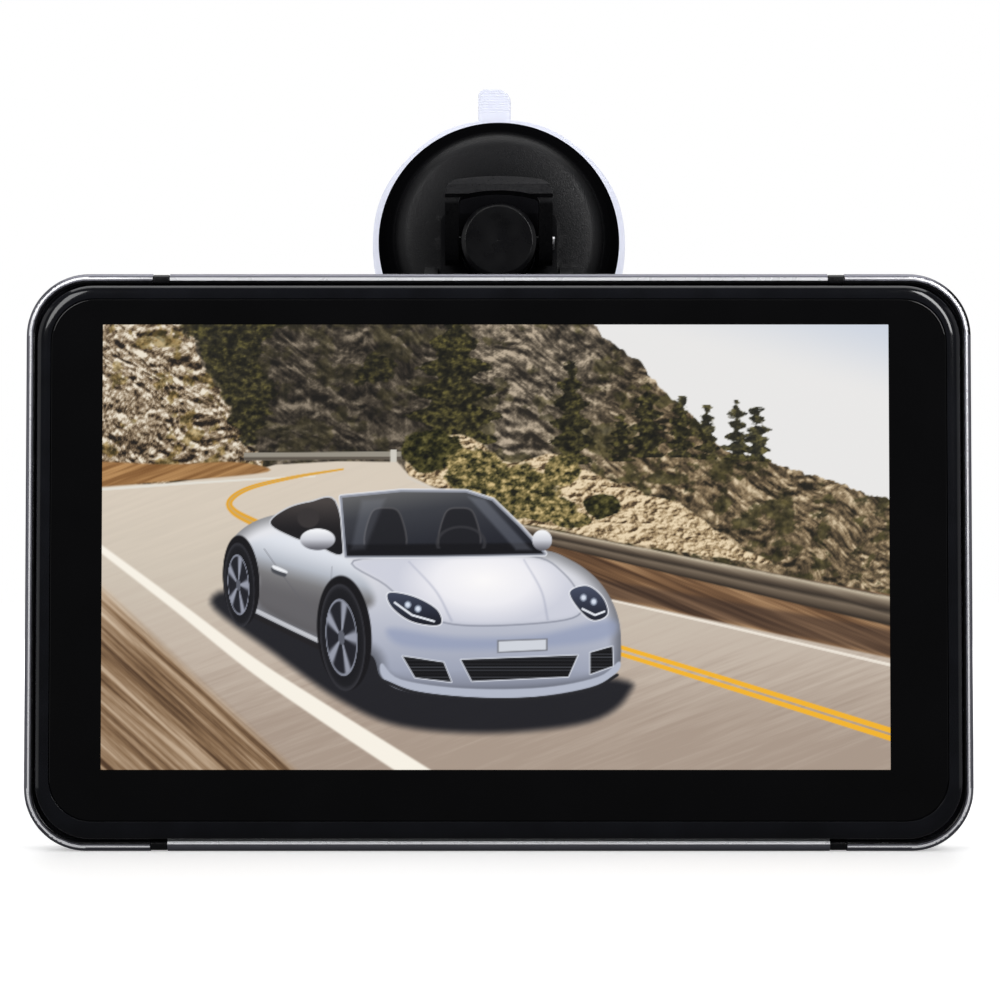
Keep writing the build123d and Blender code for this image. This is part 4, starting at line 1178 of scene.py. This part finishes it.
def paint_foliage(art):
    """Dark woods, single conifers, the far rail and the shrubs beside the bend."""
    leaf = fractal(art.x / 1.1, art.y / 0.8, 4, 101)
    needles = ramp(leaf, (0.25, 14, 14, 8), (0.5, 38, 36, 20), (0.8, 106, 98, 52))
    ragged = 5.0 * (fractal(art.x / 3, art.y / 2.2, 4, 111) - 0.5)
    woods = [[(10, -5), (25, -5), (20, 6), (22, 14), (19, 27), (16.5, 24), (15, 16), (13, 9)],
             [(33, 8), (36, 6), (37, 12), (33, 14)]]
    for points in woods:
        art.paint(0.85 * step(art.depth(points, True) + ragged, -0.3, 0.6), needles)
    conifers = [(44.7, -3, 27, 6.0), (59.6, 8, 31.5, 2.9), (69.3, 13, 30, 2.5), (73.6, 16, 30, 2.0),
                (76.8, 18, 30.5, 1.6), (80.6, 17, 30.5, 1.7), (83.2, 18.5, 31, 1.9), (66, 20, 31, 1.8)]
    boughs = 0.8 * (fractal(art.x / 1.6, art.y / 1.0, 4, 121) - 0.5)
    for centre, top, foot, half in conifers:
        height = np.clip((art.down - top) / (foot - top), 0, 1)
        tiers = 0.8 + 0.3 * np.sin(height * 34)
        reach = half * (0.12 + 0.95 * height ** 0.7) * tiers * (1.12 - 0.35 * height ** 6)
        edge = reach - np.abs(art.across - centre) + boughs * 2.4
        inside = (art.down > top) & (art.down < foot)
        art.paint(step(edge, -0.1, 0.35) * inside * 0.94, needles)

    boulders = 0.55 + relief(art.x / 3.4, art.y / 2.0, 131) + 0.5 * (leaf - 0.5)
    tan = ramp(boulders, (0.05, 74, 58, 40), (0.4, 166, 142, 106), (0.8, 232, 212, 178))
    bank = art.depth([(38.5, 34), (40, 26), (46, 25), (52, 31), (57, 29), (62, 33), (68, 37.5), (74, 41),
                      (80, 49), (84, 54), (56, 46), (50, 44), (44, 38)], True)
    art.paint(step(bank + ragged * 0.25, -0.2, 0.4), tan)
    tips = ramp(leaf, (0.25, 26, 26, 14), (0.42, 72, 68, 36), (0.6, 138, 122, 76), (0.8, 214, 190, 136))
    bushes = [(41.8, 28.5, 4.2, 5.0), (47.5, 33.0, 4.4, 5.2), (53.0, 37.5, 5.2, 6.2), (58.5, 33.0, 2.6, 3.6),
              (49.5, 38.5, 3.0, 4.4), (56.5, 41.5, 4.5, 3.0), (63.5, 41.0, 2.4, 2.8), (59.5, 44.0, 2.6, 2.2)]
    for centre, height, half, rise in bushes:
        edge = art.oval(centre, height, half, rise) + 0.1 * ragged
        green = step(centre, 44, 47) * (1 - step(centre, 60, 62))
        darker = tips * (0.55 + 0.45 * green) * (0.94, 1.0, 0.8)
        art.paint(step(edge, -0.02, 0.12), darker * (1 - green) + tips * green)
    rail = [([(18, 28.9), (38, 28.6), (38, 30.4), (18, 30.6)], (150, 144, 132)),
            ([(18, 29.9), (38, 29.8), (38, 30.4), (18, 30.6)], (92, 84, 74)),
            ([(36.6, 28.2), (37.4, 28.2), (37.4, 32.2), (36.6, 32.2)], (206, 202, 192))]
    for points, colour in rail:
        art.fill(points, colour)


def paint_road(art):
    """Asphalt with its lines, the blurred verge in front and the rail down the right side."""
    far = (art.x * 0.35 + art.y * 0.94) / 0.7
    grit = fractal(art.x / 14, far / 1.0, 4, 141)
    distance = step(art.down, 30, 100)
    asphalt = ramp(distance + 0.3 * (grit - 0.5), (0, 216, 204, 188), (0.3, 206, 195, 180),
                   (0.7, 194, 180, 166), (1, 168, 151, 137))
    road = [(-5, 36.5), (8, 35.8), (18, 33.5), (22, 31.6), (30, 30.8), (37.5, 31), (39, 34), (46, 40),
            (54, 47), (70, 57), (105, 74), (105, 105), (-5, 105)]
    art.fill(road, asphalt, soft=0.2)
    verge = fractal((art.x * 0.74 + art.y * 0.67) / 40, (art.y * 0.74 - art.x * 0.67) / 1.1, 5, 151)
    soil = ramp(verge - 0.14 * step(art.down, 58, 80), (0.15, 78, 56, 38), (0.35, 134, 106, 78),
                (0.6, 186, 162, 136), (0.9, 218, 200, 178))
    art.fill([(-5, 52), (0, 59), (12, 79.5), (24.5, 100), (26.5, 104), (-5, 104)], soil, soft=1.3)
    art.fill([(-5, 31), (8, 31.5), (17, 31), (21, 33.2), (8, 35.4), (-5, 36.6)],
             ramp(grit, (0.2, 118, 78, 40), (0.8, 186, 142, 92)), True, 0.3)
    art.stripe([(-2, 37.4), (10, 35.9), (19, 34.9), (27, 34.2)], (0.3, 0.2), (226, 222, 212))
    near_line = curve((-2, 48.0), (9.5, 63.3), (19, 76.3), (28.5, 87.6), (42, 103))
    art.stripe(near_line, (0.7, 2.3), (248, 242, 230), soft=0.35)
    centre = curve((30.6, 32.6), (24.4, 34.4), (18.8, 36.8), (16.3, 39.6), (16.8, 42.2), (20, 45.2))
    art.stripe(centre, (0.2, 0.95), (226, 166, 52))
    art.stripe(centre, (0.02, 0.16), (196, 168, 120))
    for shift in (-0.75, 0.75):
        art.stripe([(60, 70.2 + shift), (80, 81.0 + shift * 1.1), (104, 94.3 + shift * 1.2)], (0.42, 0.62),
                   (242, 180, 44))
    art.stripe([(60, 60.2), (80, 68.2), (104, 78.2)], (0.2, 0.36), (240, 232, 220), 0.9)
    art.stripe(curve((38.8, 34.5), (45, 39.5), (52, 44.5), (58, 48)), (0.2, 0.3), (212, 206, 196), 0.7)

    blur = fractal((art.x * 0.92 + art.y * 0.38) / 30, (art.y * 0.92 - art.x * 0.38) / 0.9, 4, 161)
    ground = ramp(blur, (0.2, 72, 50, 34), (0.5, 122, 90, 62), (0.8, 178, 142, 104))
    art.fill([(50, 46), (58, 47.5), (104, 62), (104, 76.5), (80, 67.5), (60, 60)], ground, soft=0.3)
    art.fill([(56, 55), (104, 70), (104, 76), (80, 67), (58, 59)],
             ramp(blur, (0.2, 58, 42, 32), (0.8, 112, 86, 66)), soft=0.6, share=0.85)
    rail_rise = art.down - (44.5 + (art.across - 52) * 0.344)
    rail_height = 3.2 + (art.across - 52) * 0.075
    level = rail_rise / rail_height
    steel_look = ramp(level + 0.1 * (blur - 0.5), (0, 96, 84, 70), (0.08, 196, 184, 162),
                      (0.2, 140, 126, 108), (0.38, 84, 72, 60), (0.5, 54, 46, 38),
                      (0.64, 118, 104, 88), (0.85, 82, 70, 58), (1, 40, 34, 28))
    on_rail = step(level, -0.04, 0.05) * (1 - step(level, 0.95, 1.04)) * step(art.across, 51, 53)
    art.paint(on_rail, steel_look)


def paint_car(art):
    """Silver open two-seater of no particular make, seen from its front left corner."""
    shadow = art.depth([(13.5, 63), (20, 60), (45, 78), (65.5, 79), (67, 84), (62, 90), (50, 92.5), (38, 91),
                        (30, 85), (22, 75)], True)
    art.paint(0.94 * step(shadow, -0.5, 2.0), (22, 23, 29))

    body = [(15.6, 55), (16.2, 49.5), (18.2, 45.6), (21.2, 43.2), (25, 42.4), (29.5, 43.5), (31, 50),
            (43, 50.6), (55, 50.6), (59.5, 53), (63, 57.6), (65.2, 64), (65.9, 71), (65.4, 77.8), (62, 81.4),
            (54, 83.6), (45, 83.8), (38, 82.0), (35.4, 79.2), (34, 74), (28, 71.5), (20.5, 65), (16.6, 62)]
    inside = art.depth(body, True)
    curve_light = step(inside, -0.3, 3.4)
    fall = np.clip((art.down - 42) / 42, 0, 1)
    paint = ramp(fall, (0, 236, 237, 241), (0.35, 216, 217, 224), (0.62, 184, 188, 202),
                 (0.85, 158, 164, 182), (1, 110, 114, 128))
    paint = paint * (0.62 + 0.38 * curve_light[..., None])
    art.paint(step(inside, -0.12, 0.12), paint)

    flank = art.depth([(17.5, 50), (24, 47), (30, 51), (33.5, 57), (34.5, 63), (30, 66), (28.5, 71), (20, 64),
                       (19.6, 57)], True)
    sheen = ramp(step(art.down - 0.5 * art.across, 36, 50), (0, 226, 230, 238), (0.4, 176, 182, 192),
                 (0.75, 112, 111, 112), (1, 88, 86, 88))
    art.paint(0.9 * step(flank, -1.0, 1.4), sheen)
    art.stripe(curve((20.6, 50.5), (23.2, 57), (27.4, 66.8)), (0.07, 0.07), (96, 96, 102), 0.8)
    art.stripe(curve((29.2, 54.5), (29.0, 61), (28.3, 67)), (0.07, 0.07), (96, 96, 102), 0.6)
    art.stripe(curve((18.4, 63.4), (24, 68.2), (29.3, 72.6)), (0.5, 0.5), (206, 208, 214), 0.9)
    art.stripe(curve((18.2, 64.6), (24, 69.6), (29.2, 74.0)), (0.5, 0.5), (30, 28, 30), 0.9)
    art.fill([(21.7, 54.6), (23.3, 55.8), (23.2, 56.8), (21.7, 55.8)], (70, 72, 78), True, 0.2)
    art.fill([(21.8, 54.2), (23.4, 55.4), (23.4, 56.0), (21.8, 55.0)], (238, 240, 244), True, 0.15)

    hood = art.depth([(32, 53.2), (44, 52.2), (54.6, 52.2), (58.6, 56), (60.8, 62), (59.8, 66), (52, 67.6),
                      (44.5, 67.4), (40, 64.4), (36, 58.6)], True)
    crown = 1 - np.clip(np.hypot((art.across - 48.5) / 11, (art.down - 57.5) / 10), 0, 1)
    bonnet = ramp(crown, (0, 206, 208, 220), (0.45, 240, 239, 244), (1, 254, 252, 252))
    art.paint(0.95 * step(hood, -0.5, 1.1), bonnet)
    art.paint(0.5 * step(hood, -0.35, -0.05) * (1 - step(hood, 0.0, 0.3)), (96, 100, 116))
    for start, end in (((39.0, 53.4), (44.4, 66.6)), ((53.6, 53.0), (56.6, 66.4))):
        crease = curve(start, ((start[0] + end[0]) / 2 + 0.7, 60), end)
        art.stripe(crease, (0.1, 0.22), (168, 172, 190), 0.7, 0.35)

    nose = art.depth([(36.5, 68), (45, 70), (55, 69.6), (64.4, 66), (65.2, 70), (60, 72.4), (48, 73.6),
                      (38, 72.6)], True)
    art.paint(0.75 * step(nose, -0.8, 1.6), (146, 156, 184))
    art.fill([(35.6, 76.2), (38, 79.8), (46, 81.8), (56, 81.6), (63, 79.2), (65.6, 75.8),
              (65.4, 78.2), (62, 81.6), (54, 83.9), (45, 84.0), (38, 82.2), (35.6, 79.2)],
             (178, 184, 200), True, 0.2)
    sill = curve((35.6, 80.0), (40, 82.8), (48, 84.2), (56, 83.9), (62.4, 81.8), (65.4, 78.8))
    art.stripe(sill, (0.35, 0.35), (34, 34, 38))
    intakes = [[(45.6, 75.4), (60.4, 74.4), (59.2, 79.2), (47.0, 80.2)],
               [(38.2, 74.6), (43.4, 76.0), (44.4, 80.4), (39.8, 79.4)],
               [(62.0, 73.8), (64.8, 72.4), (64.9, 76.8), (62.0, 78.6)]]
    for points in intakes:
        dark = art.depth(points, False, 3)
        slats = 0.5 + 0.5 * np.sin(art.down * 8.5)
        art.paint(step(dark, -0.35, -0.1), (214, 218, 228))
        shown = ramp(slats, (0, 10, 10, 12), (0.85, 22, 22, 25), (1, 66, 68, 74))
        art.paint(step(dark, -0.1, 0.15), shown)
    art.fill([(50.2, 71.0), (56.6, 70.6), (56.6, 73.4), (50.2, 73.9)], (118, 120, 128), False, 0.15)
    art.fill([(50.4, 71.3), (56.4, 70.9), (56.4, 73.1), (50.4, 73.6)], (208, 212, 220), False, 0.12)

    lamps = [([(36.4, 60.4), (39.6, 61.2), (42.6, 64.2), (42.9, 67.6), (39.4, 66.9), (36.8, 63.6)],
              [(37.2, 62.6), (39.4, 65.4), (42.2, 66.8)], (39.6, 63.6)),
             ([(59.4, 60.2), (61.6, 58.8), (63.6, 61.4), (64.2, 65.2), (62.4, 66.6), (60.6, 64.2)],
              [(61.0, 64.0), (62.6, 65.4), (63.8, 64.6)], (61.9, 62.0))]
    for points, strip, bulb in lamps:
        glass = art.depth(points, True, 3)
        art.paint(step(glass, -0.3, -0.05), (236, 238, 244))
        art.paint(step(glass, -0.05, 0.2), ramp(art.down, (58, 74, 82, 104), (68, 18, 20, 30)))
        art.stripe(strip, (0.22, 0.22), (244, 248, 255))
        for shift in (-0.75, 0.55):
            lens = art.oval(bulb[0] + shift, bulb[1] + 0.7 * shift, 0.5, 0.95)
            art.paint(step(lens, 0, 0.2), (128, 138, 156))
            art.paint(step(lens, 0.25, 0.6), (214, 222, 236))

    cabin = art.depth([(21.4, 44.8), (23.4, 41.6), (26.4, 40.0), (29.6, 39.8), (30.6, 51.4), (27, 49.4),
                       (24.2, 47.8)], True, 3)
    art.paint(step(cabin, -0.45, -0.1), (206, 208, 214))
    art.paint(step(cabin, -0.1, 0.15), ramp(art.down, (40, 70, 64, 62), (46, 28, 26, 28), (52, 20, 20, 24)))
    art.paint(step(art.oval(26.2, 43.6, 1.5, 2.4), 0, 0.15), (54, 50, 50))
    screen = [(30.4, 38.9), (38, 37.6), (46.2, 37.7), (49.6, 39.6), (53.0, 45.4), (56.2, 51.6), (43, 52.0),
              (31.0, 52.2)]
    pane = art.depth(screen, False, 3)
    art.paint(step(pane, -0.75, -0.5), (226, 228, 234))
    art.paint(step(pane, -0.5, -0.25), (150, 154, 166))
    art.paint(step(pane, 0.0, 0.25), ramp(art.down + 0.25 * art.across, (46, 104, 104, 104), (52, 58, 60, 66),
                                         (60, 36, 38, 46), (66, 22, 24, 32)))
    for seat in (36.0, 45.4):
        rest = art.depth([(seat - 1.9, 42.6), (seat, 41.2), (seat + 1.9, 42.6), (seat + 2.5, 50.6),
                          (seat - 2.5, 50.6)], True, 2)
        art.paint(0.75 * step(rest, -0.2, 0.3), (24, 24, 28))
        art.paint(0.5 * step(rest, -0.2, 0.1) * (1 - step(rest, 0.1, 0.5)), (116, 114, 116))
    art.fill([(31.2, 49.6), (43, 49.4), (54.6, 49.2), (56.0, 51.6), (43, 52), (31.2, 52.1)],
             (16, 16, 20), False, 0.4)
    ring = np.abs(art.oval(45.6, 49.2, 3.0, 3.6))
    art.paint(0.7 * (1 - step(ring, 0.03, 0.12)) * (art.down < 50.4), (58, 58, 62))
    art.fill([(46.5, 38.8), (48.6, 39.4), (54.6, 50.8), (52.6, 50.8)], (170, 176, 190), False, 0.5, 0.28)
    art.fill([(33, 39.6), (36, 39.2), (33.4, 50.6), (31.6, 50.8)], (170, 176, 190), False, 0.7, 0.18)

    for across, down, half_across, half_down in ((27.4, 48.4, 2.3, 2.5), (55.9, 48.6, 1.3, 2.4)):
        shell = art.oval(across, down, half_across, half_down)
        art.paint(step(shell, -0.02, 0.08), ramp(art.down, (down - 2, 244, 245, 248), (down, 206, 208, 216),
                                                 (down + 2, 104, 104, 112)))

    wheels = ((30.6, 70.4, 2.9, 12.2, 0.035), (17.5, 58.6, 1.95, 9.6, 0.03))
    for across, down, half_across, half_down, lean in wheels:
        arch = art.oval(across + 0.2, down - 1.0, half_across * 1.22, half_down * 1.08, lean)
        art.paint(step(arch, 0.0, 0.05), (18, 17, 20))
        tyre = art.oval(across, down, half_across, half_down, lean)
        art.paint(step(tyre, 0, 0.04), ramp(tyre, (0, 60, 60, 66), (0.12, 26, 26, 30), (0.3, 20, 20, 24)))
        rim = art.oval(across - 0.15, down, half_across * 0.7, half_down * 0.72, lean)
        u = (art.across - across + 0.15 - lean * (art.down - down)) / half_across
        v = (art.down - down) / half_down
        spokes = np.abs(np.sin(2.5 * np.arctan2(v, u)))
        metal = ramp(step(spokes, 0.2, 0.75), (0, 150, 154, 168), (1, 30, 31, 38))
        art.paint(step(rim, 0, 0.06), metal)
        art.paint(step(rim, 0, 0.03) * (1 - step(rim, 0.05, 0.11)), (136, 140, 154))
        art.paint(step(art.oval(across - 0.15, down, half_across * 0.16, half_down * 0.15, lean), 0, 0.2),
                  (92, 95, 106))


def paint_picture():
    """Driving scene for the display: hills and sky, woods, a bend in the road and an open car.
    The colours are worked out as they look and returned as light."""
    art = Canvas(PICTURE_COLUMNS, PICTURE_ROWS)
    paint_hills(art)
    paint_foliage(art)
    paint_road(art)
    paint_car(art)
    seen = np.clip(art.image / 255, 0, 1)
    return np.where(seen <= 0.04045, seen / 12.92, ((seen + 0.055) / 1.055) ** 2.4)


def main():
    """Builds the looks round the frame."""
    camera()
    lights()
    studio_floor()
    studio_backdrop()
    dress_cad_parts()
    finish_band()
    front_frame()
    cover_glass()
    picture_panels(paint_picture())
    suction_disc()
    pull_tab()
    stud_surface()
    ring_surface()
    edge_finishes()


main()
